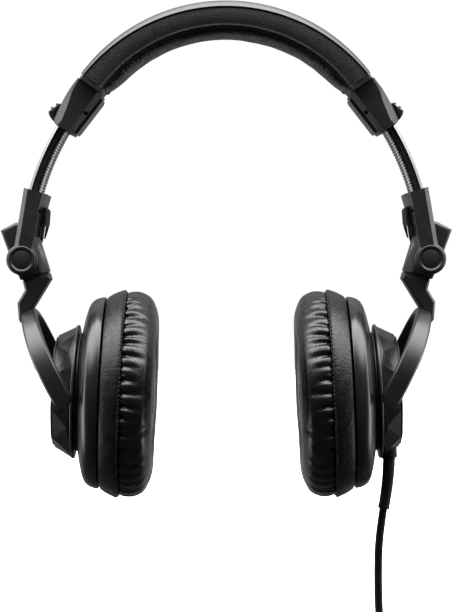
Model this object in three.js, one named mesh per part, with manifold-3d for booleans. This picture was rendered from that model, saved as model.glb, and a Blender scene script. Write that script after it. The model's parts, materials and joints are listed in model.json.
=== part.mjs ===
// Over ear headphones: a padded headband, two curved sliders, folding and swivelling yokes,
// round cups with gathered ear pads, and a cord that leaves the right cup.
// Millimetres. +X is the wearer's left-to-right line, -Y is the front, +Z is up.
// The origin is the middle of the headband pad's underside. Each side is drawn at +X and mirrored.
import * as THREE from "three";
import { mergeVertices } from "three/addons/utils/BufferGeometryUtils.js";
import Module from "manifold-3d";

const wasm = await Module();
wasm.setup();

const GAP = 0.3;

// Headband: arcs about one centre, in the XZ plane.
const BAND_CENTRE_Z = -63.4;
const BAND_OUTER_R = 77.5;
const BAND_INNER_R = 66.2;
const BAND_HALF_ANGLE = 53.2;
const BAND_HALF_DEPTH = 16.8;
const COVER_CROWN_T = 2.4;
const COVER_END_T = 1.3;
const SPRING_T = 0.6;
const SPRING_HALF_DEPTH = 12.4;
const PAD_R = 63.4;
const PAD_HALF_DEPTH = 14.9;

// Slider arm: an arc about its own centre; angles rise from the hinge to the headband.
const ARM_CENTRE = [-27.3, -98.6];
const ARM_R = 114.1;
const ARM_T = 5.8;
const ARM_DEPTH = 15;
const ARM_FOOT_DEG = 12;
const ARM_HEAD_DEG = 34;
const TONGUE_END_DEG = 45;
const TONGUE_T = 2;
const TONGUE_DEPTH = 11;
const RETRACT_DEG = 9.5;
const NOTCHES = 9;
const NOTCH_FIRST_DEG = 18.2;
const NOTCH_PITCH_DEG = 1.45;

// Fold hinge, across Y.
const HINGE = [87.9, -96.9];
const BOSS_R = 6.7;
const PIN_R = 2.2;
const SLEEVE_HALF_DEPTH = 12.8;
const KNUCKLE_HALF_DEPTH = 8;
const KNUCKLE_REACH = 17.4;

// Swivel: the yoke turns under the knuckle about an axis that leans outward.
const SWIVEL_AT = [82.7, -103.8];
const SWIVEL_LEAN_DEG = 17.2;
const POST_R = 2.6;
const POST_LENGTH = 8;

// Yoke fork: a U in a plane that leans inward as it goes down to the cup's pivots.
const PIVOT = [69.3, -156];
const FORK_LEAN_DEG = 24;
const FORK_RISE = 41;
const FORK_OUTER_HALF = 34.4;
const FORK_T = 3.2;
const PIVOT_PIN_R = 2;

// Cup: turned about an axis along X that leans a little, top inward.
const CUP_Z = -154;
const CUP_LEAN_DEG = 2.5;
const HUB_RIM_R = 29.1;
const HUB_BORE_R = 19;
const FACETS = 10;
const PAD_OUTER_R = 44.4;
const SKIRT_R = 45;
const SHELL_R = 41.6;
const ROUND = 32;

// Cord.
const CORD_D = 3.5;
const CORD_HANG = [70.5, -186.2];
const RELIEF_R = 2.6;
const GLAND_R = 3.7;
const COIL_CENTRE = [90, 0, -288];
const COIL_MID_R = 21;
const COIL_BUNDLE_R = 6.3;
const PLUG_Z = COIL_CENTRE[2] + COIL_BUNDLE_R + 4.6;

const MATERIALS = {
  matte_black: 0x1c1c1e,
  gloss_black: 0x101012,
  satin_grey: 0x3a3a3d,
  black_fabric: 0x222224,
  black_leatherette: 0x18181a,
  speaker_cloth: 0x111111,
  steel: 0x9a9a9c,
  driver_black: 0x202022,
  black_rubber: 0x161616,
};

const rad = THREE.MathUtils.degToRad;
const lerp = THREE.MathUtils.lerp;

// ---------------------------------------------------------------- geometry helpers

function signedVolume(points, index) {
  let sum = 0;
  for (let i = 0; i < index.length; i += 3) {
    const [a, b, c] = [points[index[i]], points[index[i + 1]], points[index[i + 2]]];
    sum += a.dot(new THREE.Vector3().crossVectors(b, c));
  }
  return sum / 6;
}

function faceted(points, index) {
  const out = [];
  const turn = signedVolume(points, index) < 0;
  for (let i = 0; i < index.length; i += 3) {
    const tri = [index[i], index[i + 1], index[i + 2]];
    if (turn) tri.reverse();
    tri.forEach((k) => out.push(...points[k].toArray()));
  }
  return new THREE.BufferGeometry().setAttribute("position", new THREE.Float32BufferAttribute(out, 3));
}

// The triangles of a flat ring's cap, wound the way the ring runs.
function capOf(ring) {
  const normal = new THREE.Vector3();
  ring.forEach((p, i) => normal.add(new THREE.Vector3().crossVectors(p, ring[(i + 1) % ring.length])));
  normal.normalize();
  const u = ring[1].clone().sub(ring[0]).normalize();
  const v = new THREE.Vector3().crossVectors(normal, u);
  const flat = ring.map((p) => new THREE.Vector2(p.clone().sub(ring[0]).dot(u), p.clone().sub(ring[0]).dot(v)));
  return THREE.ShapeUtils.triangulateShape(flat, []).map(([a, b, c]) => {
    const ab = flat[b].clone().sub(flat[a]);
    const ac = flat[c].clone().sub(flat[a]);
    return ab.cross(ac) > 0 ? [a, b, c] : [a, c, b];
  });
}

// A closed body through rings that all have the same number of points.
function loft(rings) {
  const n = rings[0].length;
  const index = [];
  for (let i = 0; i < rings.length - 1; i++) {
    for (let j = 0; j < n; j++) {
      const k = (j + 1) % n;
      const a = i * n;
      const b = a + n;
      index.push(a + j, a + k, b + k, a + j, b + k, b + j);
    }
  }
  const last = (rings.length - 1) * n;
  capOf(rings[0]).forEach(([a, b, c]) => index.push(a, c, b));
  capOf(rings[rings.length - 1]).forEach(([a, b, c]) => index.push(last + a, last + b, last + c));
  return faceted(rings.flat(), index);
}

function toSolid(geometry) {
  const bare = new THREE.BufferGeometry().setAttribute("position", geometry.getAttribute("position"));
  if (geometry.index) bare.setIndex(geometry.index);
  const merged = mergeVertices(bare, 1e-4);
  const kept = [];
  const ids = merged.index.array;
  for (let i = 0; i < ids.length; i += 3) {
    const [a, b, c] = [ids[i], ids[i + 1], ids[i + 2]];
    if (a !== b && b !== c && c !== a) kept.push(a, b, c);
  }
  const vertProperties = merged.attributes.position.array;
  return new wasm.Manifold(new wasm.Mesh({ numProp: 3, vertProperties, triVerts: new Uint32Array(kept) }));
}

function fromSolid(solid) {
  const mesh = solid.getMesh();
  return new THREE.BufferGeometry()
    .setAttribute("position", new THREE.BufferAttribute(mesh.vertProperties, 3))
    .setIndex(new THREE.BufferAttribute(mesh.triVerts, 1));
}

function join(first, ...more) {
  return fromSolid(more.reduce((sum, g) => sum.add(toSolid(g)), toSolid(first)));
}

function cut(first, ...tools) {
  return fromSolid(tools.reduce((left, g) => left.subtract(toSolid(g)), toSolid(first)));
}

// An outline in XZ given thickness from y0 to y1, with an optional chamfer round both faces.
function slab(outline, y0, y1, chamfer = 0, chamferDepth = chamfer) {
  const shape = new THREE.Shape(outline.map(([x, z]) => new THREE.Vector2(x, z)));
  const geometry = new THREE.ExtrudeGeometry(shape, {
    depth: y1 - y0 - 2 * chamferDepth,
    steps: 1,
    bevelEnabled: chamfer > 0,
    bevelThickness: chamferDepth,
    bevelSize: chamfer,
    bevelOffset: -chamfer,
    bevelSegments: 1,
  });
  return geometry.rotateX(Math.PI / 2).translate(0, y1 - chamferDepth, 0);
}

// A profile of [distance along the axis, radius] turned about X, Y or Z.
function turned(profile, axis, segments = ROUND) {
  const points = profile.map(([along, r]) => new THREE.Vector2(r, along));
  const geometry = new THREE.LatheGeometry(points, segments);
  if (axis === "x") geometry.rotateZ(-Math.PI / 2);
  if (axis === "z") geometry.rotateX(Math.PI / 2);
  return outward(geometry);
}

function outward(geometry) {
  const solid = toSolid(geometry);
  if (solid.volume() > 0) return fromSolid(solid);
  const flipped = geometry.clone();
  const ids = flipped.index.array;
  for (let i = 0; i < ids.length; i += 3) [ids[i + 1], ids[i + 2]] = [ids[i + 2], ids[i + 1]];
  return fromSolid(toSolid(flipped));
}

function rod(axis, from, to, r, segments = 16) {
  return turned([[from, 0], [from, r], [to, r], [to, 0]], axis, segments);
}

function arcPoints([cx, cz], r, fromDeg, toDeg, steps) {
  return Array.from({ length: steps + 1 }, (_, i) => {
    const a = rad(lerp(fromDeg, toDeg, i / steps));
    return [cx + r * Math.cos(a), cz + r * Math.sin(a)];
  });
}

// A section of [radius, y] points swept round an arc in XZ; angle 0 is +X and 90 is +Z.
function sweep([cx, cz], fromDeg, toDeg, steps, sectionAt) {
  const rings = [];
  for (let i = 0; i <= steps; i++) {
    const t = i / steps;
    const a = rad(lerp(fromDeg, toDeg, t));
    rings.push(sectionAt(t).map(([r, y]) => new THREE.Vector3(cx + r * Math.cos(a), y, cz + r * Math.sin(a))));
  }
  return loft(rings);
}

// ---------------------------------------------------------------- headband

const bandSweep = (steps, sectionAt, halfAngle = BAND_HALF_ANGLE) =>
  sweep([0, BAND_CENTRE_Z], 90 + halfAngle, 90 - halfAngle, steps, (t) => sectionAt(Math.abs(2 * t - 1)));

const mirroredSection = (half) => [...half.map(([r, y]) => [r, -y]), ...half.slice().reverse()];

// The cover is thick at the crown (end = 0) and thin at the ends (end = 1).
const coverFloor = (end) => BAND_OUTER_R - lerp(COVER_CROWN_T, COVER_END_T, end * end);

function headbandCover() {
  return bandSweep(20, (end) =>
    mirroredSection([
      [coverFloor(end), BAND_HALF_DEPTH],
      [coverFloor(end) + 0.35, BAND_HALF_DEPTH + 0.2],
      [BAND_OUTER_R, BAND_HALF_DEPTH - 2.4],
    ]),
  );
}

function headbandSpring() {
  return bandSweep(20, (end) =>
    mirroredSection([
      [coverFloor(end) - GAP - SPRING_T, SPRING_HALF_DEPTH],
      [coverFloor(end) - GAP, SPRING_HALF_DEPTH],
    ]),
  );
}

function headbandWrap() {
  const body = bandSweep(18, (end) =>
    mirroredSection([
      [BAND_INNER_R, BAND_HALF_DEPTH - 1.2],
      [BAND_INNER_R + 1, BAND_HALF_DEPTH - 0.2],
      [coverFloor(end) - GAP, BAND_HALF_DEPTH - 0.2],
      [coverFloor(end) - GAP, SPRING_HALF_DEPTH + GAP],
      [coverFloor(end) - 2 * GAP - SPRING_T, SPRING_HALF_DEPTH + GAP],
    ]),
  );
  return cut(body, ...["right", "left"].flatMap((side) => armChannel(side)));
}

function headbandPad() {
  return bandSweep(
    22,
    (end) => {
      const close = Math.max(0, (end - 0.86) / 0.14);
      const full = Math.sqrt(Math.max(0.02, 1 - close * close));
      const top = BAND_INNER_R - GAP;
      const low = top - (top - PAD_R) * full;
      const half = PAD_HALF_DEPTH - 3 * close;
      return mirroredSection([
        [top, half - 0.5],
        [lerp(top, low, 0.3), half],
        [lerp(top, low, 0.62), half - 1.8],
        [lerp(top, low, 0.88), half - 6],
        [low, half - 11],
      ]);
    },
    52.6,
  );
}

// The rolled edge between the wrap and the pad, front or rear.
function headbandPiping(y) {
  const r = BAND_INNER_R - GAP - 0.75;
  const section = Array.from({ length: 6 }, (_, i) => [
    r + 0.45 * Math.cos(rad(60 * i)),
    y + 0.45 * Math.sin(rad(60 * i)),
  ]);
  return bandSweep(20, () => section, 52.4);
}

// ---------------------------------------------------------------- slider

const armSweep = (fromDeg, toDeg, steps, section) =>
  sweep(ARM_CENTRE, fromDeg, toDeg, steps, () => section.map(([u, y]) => [ARM_R + u, y]));

const box2 = (halfT, halfDepth) => [
  [-halfT, -halfDepth],
  [halfT, -halfDepth],
  [halfT, halfDepth],
  [-halfT, halfDepth],
];

// The space that the arm and its tongue need inside the headband and its housing.
function armChannel(side) {
  const thick = armSweep(27, ARM_HEAD_DEG + RETRACT_DEG + 0.5, 8, box2(ARM_T / 2 + GAP, ARM_DEPTH / 2 + GAP));
  const thin = armSweep(
    ARM_HEAD_DEG,
    TONGUE_END_DEG + RETRACT_DEG + 1,
    8,
    box2(TONGUE_T / 2 + GAP, TONGUE_DEPTH / 2 + GAP),
  );
  return side === "right" ? [thick, thin] : [thick, thin].map(mirrored);
}

function mirrored(geometry) {
  return outward(fromSolid(toSolid(geometry).mirror([1, 0, 0])));
}

function armSection() {
  const half = ARM_T / 2;
  const depth = ARM_DEPTH / 2;
  const front = [
    [-half, depth - 1],
    [-half + 1.3, depth],
    [-0.6, depth],
    [-0.3, depth - 0.5],
    [0.8, depth - 0.5],
    [1.1, depth],
    [half - 0.9, depth],
    [half, depth - 0.7],
  ];
  return [...front.map(([u, y]) => [u, -y]), ...front.slice().reverse()];
}

function sliderArm() {
  const bar = armSweep(ARM_FOOT_DEG, ARM_HEAD_DEG, 10, armSection());
  const tongue = armSweep(ARM_HEAD_DEG - 1, TONGUE_END_DEG, 5, box2(TONGUE_T / 2, TONGUE_DEPTH / 2));
  const notches = Array.from({ length: NOTCHES }, (_, i) => {
    const at = NOTCH_FIRST_DEG + i * NOTCH_PITCH_DEG;
    return sweep(ARM_CENTRE, at, at + 0.35, 1, () => box2(0.5, 9).map(([u, y]) => [ARM_R - ARM_T / 2 + u, y]));
  });
  return cut(join(bar, tongue), ...notches);
}

// Stations down the housing: inner edge, outer edge, and the width of the outer chamfer.
const HOUSING = [
  { inner: [53.1, -26.2], outer: [63.66, -18.6], strip: 0.9 },
  { inner: [56.26, -30.34], outer: [67.41, -23.53], strip: 1.8 },
  { inner: [59.61, -34.68], outer: [70.67, -28.86], strip: 3.2 },
  { inner: [62.97, -39.03], outer: [73.63, -35.38], strip: 3.5 },
  { inner: [64.55, -41.1], outer: [74.22, -37.25], strip: 2.7 },
  { inner: [65.93, -42.88], outer: [72.84, -39.13], strip: 0.5 },
];
const HOUSING_HALF_DEPTH = 13;

function sliderHousing() {
  const rings = HOUSING.map(({ inner, outer, strip }) => {
    const width = Math.hypot(outer[0] - inner[0], outer[1] - inner[1]);
    const at = (w, y) =>
      new THREE.Vector3(lerp(inner[0], outer[0], w / width), y, lerp(inner[1], outer[1], w / width));
    const h = HOUSING_HALF_DEPTH;
    const half = [
      [0, h - 3.4],
      [2.3, h],
      [width - strip, h],
      [width, h - 1 - strip],
    ];
    return [...half.map(([w, y]) => at(w, -y)), ...half.slice().reverse().map(([w, y]) => at(w, y))];
  });
  const keyhole = rod("y", -HOUSING_HALF_DEPTH - 1, -HOUSING_HALF_DEPTH + 3.4, 0.85, 12).translate(60.7, 0, -34.6);
  return cut(loft(rings), ...armChannel("right"), keyhole);
}

function housingInnerCover() {
  const [top, foot] = [HOUSING[0].inner, HOUSING[5].inner];
  const along = new THREE.Vector2(foot[0] - top[0], foot[1] - top[1]).normalize();
  const out = new THREE.Vector2(along.y, -along.x);
  const at = (s, n) => [top[0] + along.x * s + out.x * n, top[1] + along.y * s + out.y * n];
  const outline = [at(1.2, GAP + 0.25), at(20, GAP + 0.25), at(20, 0.95), at(18.6, 1.3), at(2.6, 1.3), at(1.2, 0.95)];
  return slab(outline, -8.6, 8.6);
}

function thumbGrip() {
  const ramp = slab([[71.72, -29.08], [76.8, -32.66], [76.49, -34.35], [75.4, -36.14]], -7, 7, 0.4);
  const ribs = [[72.92, -29.68], [75.11, -31.22]].map(([x, z]) => rod("y", -6, 6, 0.65, 10).translate(x, 0, z));
  return join(ramp, ...ribs);
}

function knuckleSlot() {
  return rod("y", -KNUCKLE_HALF_DEPTH - 0.4, KNUCKLE_HALF_DEPTH + 0.4, KNUCKLE_REACH, 28).translate(
    HINGE[0],
    0,
    HINGE[1],
  );
}

function hingeBore() {
  return rod("y", -16, 16, PIN_R + GAP).translate(HINGE[0], 0, HINGE[1]);
}

function hingeSleeve() {
  const outline = [
    [87.05, -65.87],
    ...arcPoints(HINGE, BOSS_R, 60, -210, 18),
    [80.44, -87.88],
    [78.17, -73.57],
    [76.79, -68.83],
  ];
  const pocket = armSweep(ARM_FOOT_DEG - 0.2, 20, 3, box2(ARM_T / 2 + GAP, ARM_DEPTH / 2 + GAP));
  const body = slab(outline, -SLEEVE_HALF_DEPTH, SLEEVE_HALF_DEPTH, 1.9, 2.4);
  return cut(body, pocket, knuckleSlot(), hingeBore());
}

function sleeveBumper() {
  const outline = [[77.92, -74.16], [80.05, -87.49], [79.35, -86.8], [77.58, -80.97], [77.18, -75.15]];
  return cut(slab(outline, -11.6, 11.6), knuckleSlot());
}

// The cap over either end of the hinge pin: a raised ring round a sunk disc.
function hingeCap(sign) {
  const face = SLEEVE_HALF_DEPTH + GAP;
  const profile = [
    [face, 0],
    [face, 5.9],
    [face + 0.6, 5.9],
    [face + 1, 5.5],
    [face + 1, 4.6],
    [face + 0.45, 4.3],
    [face + 0.45, 0],
  ];
  return turned(profile.map(([a, r]) => [sign * a, r]), "y", 24).translate(HINGE[0], 0, HINGE[1]);
}

function hingePin() {
  return rod("y", -12.4, 12.4, PIN_R).translate(HINGE[0], 0, HINGE[1]);
}

// ---------------------------------------------------------------- knuckle and yoke

function alongSwivel(geometry) {
  return geometry.rotateY(rad(SWIVEL_LEAN_DEG)).translate(SWIVEL_AT[0], 0, SWIVEL_AT[1]);
}

function foldKnuckle() {
  const outline = [
    [97.61, -84.16],
    [90.87, -80.59],
    [84.52, -82.08],
    [80.95, -88.03],
    [76.68, -101.62],
    [89.08, -105.49],
    [90.77, -101.92],
    [94.14, -93.59],
  ];
  const body = slab(outline, -KNUCKLE_HALF_DEPTH, KNUCKLE_HALF_DEPTH, 0.9);
  const post = alongSwivel(rod("z", -POST_LENGTH, 3, POST_R));
  return cut(join(body, post), hingeBore());
}

function yokeNeck() {
  const outline = [
    [76.66, -102.6],
    [88.08, -106.13],
    [87.09, -109.95],
    [90.36, -115.41],
    [89.77, -122.96],
    [88.67, -124.35],
    [87.98, -121.47],
    [84.01, -118.19],
    [75.96, -105.08],
  ];
  const bore = alongSwivel(rod("z", -POST_LENGTH - GAP, 4, POST_R + GAP));
  return cut(slab(outline, -7, 7, 0.8), bore, forkBand(GAP));
}

// The fork's centre line, from one pivot over the top to the other, as [y, rise] with its direction.
function forkLine() {
  const r = FORK_OUTER_HALF - FORK_T / 2;
  const straight = FORK_RISE - FORK_OUTER_HALF;
  const line = [{ y: -r, rise: -3.4, turn: 180, w: 3 }, { y: -r, rise: -1.6, turn: 180, w: 3.8 }];
  line.push({ y: -r, rise: 1, turn: 180, w: 4.1 });
  for (let a = 180; a >= 0; a -= 15) {
    const w = 3 + 1.2 * Math.abs(Math.cos(rad(a)));
    line.push({ y: r * Math.cos(rad(a)), rise: straight + r * Math.sin(rad(a)), turn: a, w });
  }
  line.push({ y: r, rise: 1, turn: 0, w: 4.1 });
  line.push({ y: r, rise: -1.6, turn: 0, w: 3.8 }, { y: r, rise: -3.4, turn: 0, w: 3 });
  return line;
}

function forkBand(grow) {
  const lean = rad(FORK_LEAN_DEG);
  const up = new THREE.Vector3(Math.sin(lean), 0, Math.cos(lean));
  const across = new THREE.Vector3(Math.cos(lean), 0, -Math.sin(lean));
  const half = FORK_T / 2 + grow;
  const rings = forkLine().map(({ y, rise, turn, w: neat }) => {
    const w = neat + grow;
    const radial = new THREE.Vector3(0, Math.cos(rad(turn)), 0).addScaledVector(up, Math.sin(rad(turn)));
    const bow = Math.sin(Math.PI * THREE.MathUtils.clamp(rise / FORK_RISE, 0, 1));
    const centre = new THREE.Vector3(PIVOT[0], y, PIVOT[1]).addScaledVector(up, rise).addScaledVector(across, bow);
    const section = [
      [-w, -half],
      [w, -half],
      [w, half - 0.5],
      [w - 0.8, half],
      [-w + 0.8, half],
      [-w, half - 0.5],
    ];
    return section.map(([a, b]) => centre.clone().addScaledVector(across, a).addScaledVector(radial, b));
  });
  return loft(rings);
}

function yokeFork() {
  const holes = [-1, 1].map((s) => rod("y", -5, 5, PIVOT_PIN_R + GAP).translate(PIVOT[0], s * 28.1, PIVOT[1]));
  return cut(forkBand(0), ...holes);
}

// A pin from the blind hole in the fork tip into the hub's side.
function pivotPin(sign) {
  const from = sign * 23.6;
  const to = sign * 32.8;
  return rod("y", Math.min(from, to), Math.max(from, to), PIVOT_PIN_R).translate(PIVOT[0], 0, PIVOT[1]);
}

// ---------------------------------------------------------------- cup, about the X axis with z = 0 at its middle

// Cup pieces are drawn upright about X, then leaned about the pivots' height.
function lean(geometry) {
  return geometry
    .translate(-PIVOT[0], 0, 0)
    .rotateY(rad(-CUP_LEAN_DEG))
    .translate(PIVOT[0], 0, CUP_Z);
}

function unlean(x, z) {
  const p = new THREE.Vector3(x - PIVOT[0], 0, z - CUP_Z).applyAxisAngle(
    new THREE.Vector3(0, 1, 0),
    rad(CUP_LEAN_DEG),
  );
  return [p.x + PIVOT[0], p.z];
}

const onWheel = (x, r, deg) => new THREE.Vector3(x, r * Math.sin(rad(deg)), r * Math.cos(rad(deg)));

// The hub's gem-cut wall: per facet one point on the plate's edge and two on the rim.
function gem() {
  const step = 360 / FACETS;
  const points = [];
  for (let k = 0; k < FACETS; k++) {
    points.push(onWheel(73.9, 24.3, k * step));
    points.push(onWheel(66.1, 28.7, k * step + 7));
    points.push(onWheel(67.4, 28.7, k * step + 22));
    points.push(onWheel(65.5, 28.3, k * step + 7));
    points.push(onWheel(65.5, 28.3, k * step + 22));
  }
  const [face, back] = [points.length, points.length + 1];
  points.push(new THREE.Vector3(73.9, 0, 0), new THREE.Vector3(65.5, 0, 0));
  const index = [];
  for (let k = 0; k < FACETS; k++) {
    const [p, q, r, q0, r0] = [0, 1, 2, 3, 4].map((n) => k * 5 + n);
    const [p2, q2, , q02] = [0, 1, 2, 3].map((n) => ((k + 1) % FACETS) * 5 + n);
    index.push(p, r, q, p, p2, r, p2, q2, r);
    index.push(q, r, r0, q, r0, q0, r, q2, q02, r, q02, r0);
    index.push(face, p2, p, back, q0, r0, back, r0, q02);
  }
  return faceted(points, index);
}

function hub(side) {
  const rim = turned([[64.9, 0], [64.9, HUB_RIM_R], [66, HUB_RIM_R], [66, 0]], "x", ROUND);
  const bore = rod("x", 60, 80, HUB_BORE_R, 24);
  const [px, pz] = unlean(...PIVOT);
  const sockets = rod("y", -60, 60, PIVOT_PIN_R + GAP).translate(px, 0, pz);
  const cable = rod("z", -40, -15, GLAND_R + GAP, 24).translate(glandAt()[0], 0, 0);
  const inside = rod("x", 50, 90, 23.1, 20);
  const blind = fromSolid(toSolid(sockets).subtract(toSolid(inside)));
  const body = cut(join(gem(), rim), bore, blind);
  return lean(side === "right" ? cut(body, cable) : body);
}

function outerPlate() {
  const ring = (x, r) => Array.from({ length: FACETS }, (_, k) => onWheel(x, r, (k * 360) / FACETS));
  return lean(loft([ring(74.2, 23.6), ring(74.5, 23.6), ring(74.9, 22.9)]));
}

function neckRing() {
  return lean(turned([[63.6, 17], [63.6, 25.7], [64.6, 25.7], [64.6, 17], [63.6, 17]], "x"));
}

function backShell() {
  const profile = [
    [53.9, SHELL_R - 1.8],
    [53.9, SHELL_R],
    [57.2, SHELL_R],
    [59.6, 40.7],
    [61.2, 37.6],
    [63.3, 27],
    [63.3, 15],
    [61.4, 15],
    [59.2, 37],
    [53.9, SHELL_R - 1.8],
  ];
  return lean(turned(profile, "x"));
}

function padSkirt() {
  const profile = [
    [45.2, 40],
    [45.2, SKIRT_R],
    [46.4, SKIRT_R],
    [49.8, 43.8],
    [53.2, SHELL_R],
    [53.2, 40],
    [45.2, 40],
  ];
  return lean(turned(profile, "x"));
}

function baffle() {
  return lean(turned([[48.6, 20.6], [48.6, 39.6], [51, 39.6], [51, 20.6], [48.6, 20.6]], "x", 24));
}

function driver() {
  const profile = [
    [58.5, 0],
    [58.5, 11],
    [54, 13],
    [54, 20.2],
    [46.8, 20.2],
    [47.4, 9],
    [46.2, 0],
  ];
  return lean(turned(profile, "x", 24));
}

function speakerCloth() {
  return lean(rod("x", 45.2, 45.7, 39.4, 24));
}

function earPad() {
  const profile = [
    [44.9, 26],
    [44.9, PAD_OUTER_R],
    [39, 44.2],
    [34.6, 42.2],
    [32, 38.6],
    [31, 34.2],
    [31, 31],
    [32.2, 27.4],
    [36.4, 25.2],
    [44.9, 26],
  ];
  return lean(turned(profile, "x"));
}

// ---------------------------------------------------------------- cord

const glandAt = () => unlean(CORD_HANG[0], CORD_HANG[1] + RELIEF_R + GAP);

function cableGland() {
  const [x, z] = glandAt();
  const profile = [[z, 0], [z, GLAND_R - 0.5], [z + 0.5, GLAND_R], [-20.5, GLAND_R], [-20.5, 0]];
  return lean(turned(profile, "z", 24).translate(x, 0, 0));
}

function tubeAlong(points, radiusAt, sides, steps) {
  const curve = new THREE.CatmullRomCurve3(points.map(([x, y, z]) => new THREE.Vector3(x, y, z)));
  const rings = [];
  for (let i = 0; i <= steps; i++) {
    const t = i / steps;
    const at = curve.getPointAt(t);
    const along = curve.getTangentAt(t);
    const side = new THREE.Vector3().crossVectors(along, new THREE.Vector3(0, 1, 0)).normalize();
    const other = new THREE.Vector3().crossVectors(along, side);
    const r = radiusAt(t);
    rings.push(
      Array.from({ length: sides }, (_, k) => {
        const a = rad((360 * k) / sides);
        return at.clone().addScaledVector(side, r * Math.cos(a)).addScaledVector(other, r * Math.sin(a));
      }),
    );
  }
  return loft(rings);
}

const RELIEF_PATH = [
  [70.5, 0, -186.2],
  [70.1, 0, -192],
  [69.3, 0, -198.5],
  [68.2, 0, -204.9],
];

// The boot over the cord's exit: its domed top lets it hang down however the cup is turned.
function strainRelief() {
  const body = tubeAlong(RELIEF_PATH, (t) => lerp(RELIEF_R, 2.35, t), 12, 5);
  const dome = new THREE.SphereGeometry(RELIEF_R, 12, 6).translate(CORD_HANG[0], 0, CORD_HANG[1]);
  return join(body, outward(dome));
}

const CORD_PATH = [
  [68.1, 0, -205.2],
  [67.4, 0, -210],
  [66.6, 0, -216],
  [66, 0, -223],
  [65.8, 0, -231],
  [65.8, 0, -239],
  [66, 0, -247],
  [66.4, 0, -255],
  [67, 0, -263],
  [67.8, 0, -271],
  [69, 0, -281.2],
];

function hangingCord() {
  return tubeAlong(CORD_PATH, () => CORD_D / 2, 8, 16);
}

function cordCoil() {
  const ring = Array.from({ length: 10 }, (_, i) => {
    const a = rad(36 * i);
    return [COIL_BUNDLE_R * Math.sin(a), COIL_MID_R + COIL_BUNDLE_R * Math.cos(a)];
  });
  ring.push(ring[0]);
  return turned(ring, "z").translate(...COIL_CENTRE);
}

function coilTie() {
  const [inner, outer] = [COIL_BUNDLE_R + GAP, COIL_BUNDLE_R + GAP + 1];
  const profile = [[-3, inner], [-3, outer], [3, outer], [3, inner], [-3, inner]];
  const band = turned(profile, "y", 20);
  return band.translate(COIL_CENTRE[0] + COIL_MID_R, COIL_CENTRE[1], COIL_CENTRE[2]);
}

function plugBody() {
  const profile = [[-14, 0], [-14, 2.3], [-6, 2.9], [-5, 3.9], [10, 3.9], [11, 3.3], [11, 0]];
  return turned(profile, "x", 20).translate(COIL_CENTRE[0], COIL_MID_R, PLUG_Z);
}

function plugTip() {
  const profile = [
    [11.3, 0],
    [11.3, 1.75],
    [21.6, 1.75],
    [23, 1.1],
    [24, 1.6],
    [25.3, 0.5],
    [25.3, 0],
  ];
  return turned(profile, "x", 16).translate(COIL_CENTRE[0], COIL_MID_R, PLUG_Z);
}

// ---------------------------------------------------------------- assembly

const headphones = new THREE.Group();
headphones.name = "over_ear_headphones";

function add(parent, name, geometry, material) {
  const mesh = new THREE.Mesh(
    geometry,
    new THREE.MeshStandardMaterial({ name: material, color: MATERIALS[material], roughness: 0.6 }),
  );
  mesh.name = name;
  parent.add(mesh);
}

add(headphones, "headband_cover", headbandCover(), "gloss_black");
add(headphones, "headband_spring", headbandSpring(), "steel");
add(headphones, "headband_wrap", headbandWrap(), "black_fabric");
add(headphones, "headband_pad", headbandPad(), "black_leatherette");
add(headphones, "headband_piping_front", headbandPiping(-15.8), "black_leatherette");
add(headphones, "headband_piping_rear", headbandPiping(15.8), "black_leatherette");

const PAIRED = [
  ["slider_housing", sliderHousing, "matte_black"],
  ["housing_inner_cover", housingInnerCover, "satin_grey"],
  ["thumb_grip", thumbGrip, "matte_black"],
  ["slider_arm", sliderArm, "satin_grey"],
  ["hinge_sleeve", hingeSleeve, "matte_black"],
  ["sleeve_bumper", sleeveBumper, "black_rubber"],
  ["hinge_cap_front", () => hingeCap(-1), "matte_black"],
  ["hinge_cap_rear", () => hingeCap(1), "matte_black"],
  ["hinge_pin", hingePin, "steel"],
  ["fold_knuckle", foldKnuckle, "satin_grey"],
  ["yoke_neck", yokeNeck, "matte_black"],
  ["yoke_fork", yokeFork, "gloss_black"],
  ["pivot_pin_front", () => pivotPin(-1), "steel"],
  ["pivot_pin_rear", () => pivotPin(1), "steel"],
  ["outer_plate", outerPlate, "gloss_black"],
  ["neck_ring", neckRing, "matte_black"],
  ["back_shell", backShell, "satin_grey"],
  ["pad_skirt", padSkirt, "black_leatherette"],
  ["baffle", baffle, "matte_black"],
  ["driver", driver, "driver_black"],
  ["speaker_cloth", speakerCloth, "speaker_cloth"],
  ["ear_pad", earPad, "black_leatherette"],
  ["cup_hub", hub, "satin_grey"],
];

for (const [side, sign] of [["right", 1], ["left", -1]]) {
  const half = new THREE.Group();
  half.scale.x = sign;
  headphones.add(half);
  for (const [name, make, material] of PAIRED) add(half, side + "_" + name, make(side), material);
}

add(headphones, "cable_gland", cableGland(), "black_rubber");
add(headphones, "strain_relief", strainRelief(), "black_rubber");
add(headphones, "cord", hangingCord(), "black_rubber");
add(headphones, "cord_coil", cordCoil(), "black_rubber");
add(headphones, "coil_tie", coilTie(), "black_rubber");
add(headphones, "plug_body", plugBody(), "matte_black");
add(headphones, "plug_tip", plugTip(), "steel");

export default headphones;
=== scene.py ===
"""Over ear headphones: the looks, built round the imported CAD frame.

Solids and tables are in millimetres, in the frame's axes. Solids are drawn for the right side and mirrored
for the left one.
"""

import json
import math

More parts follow.
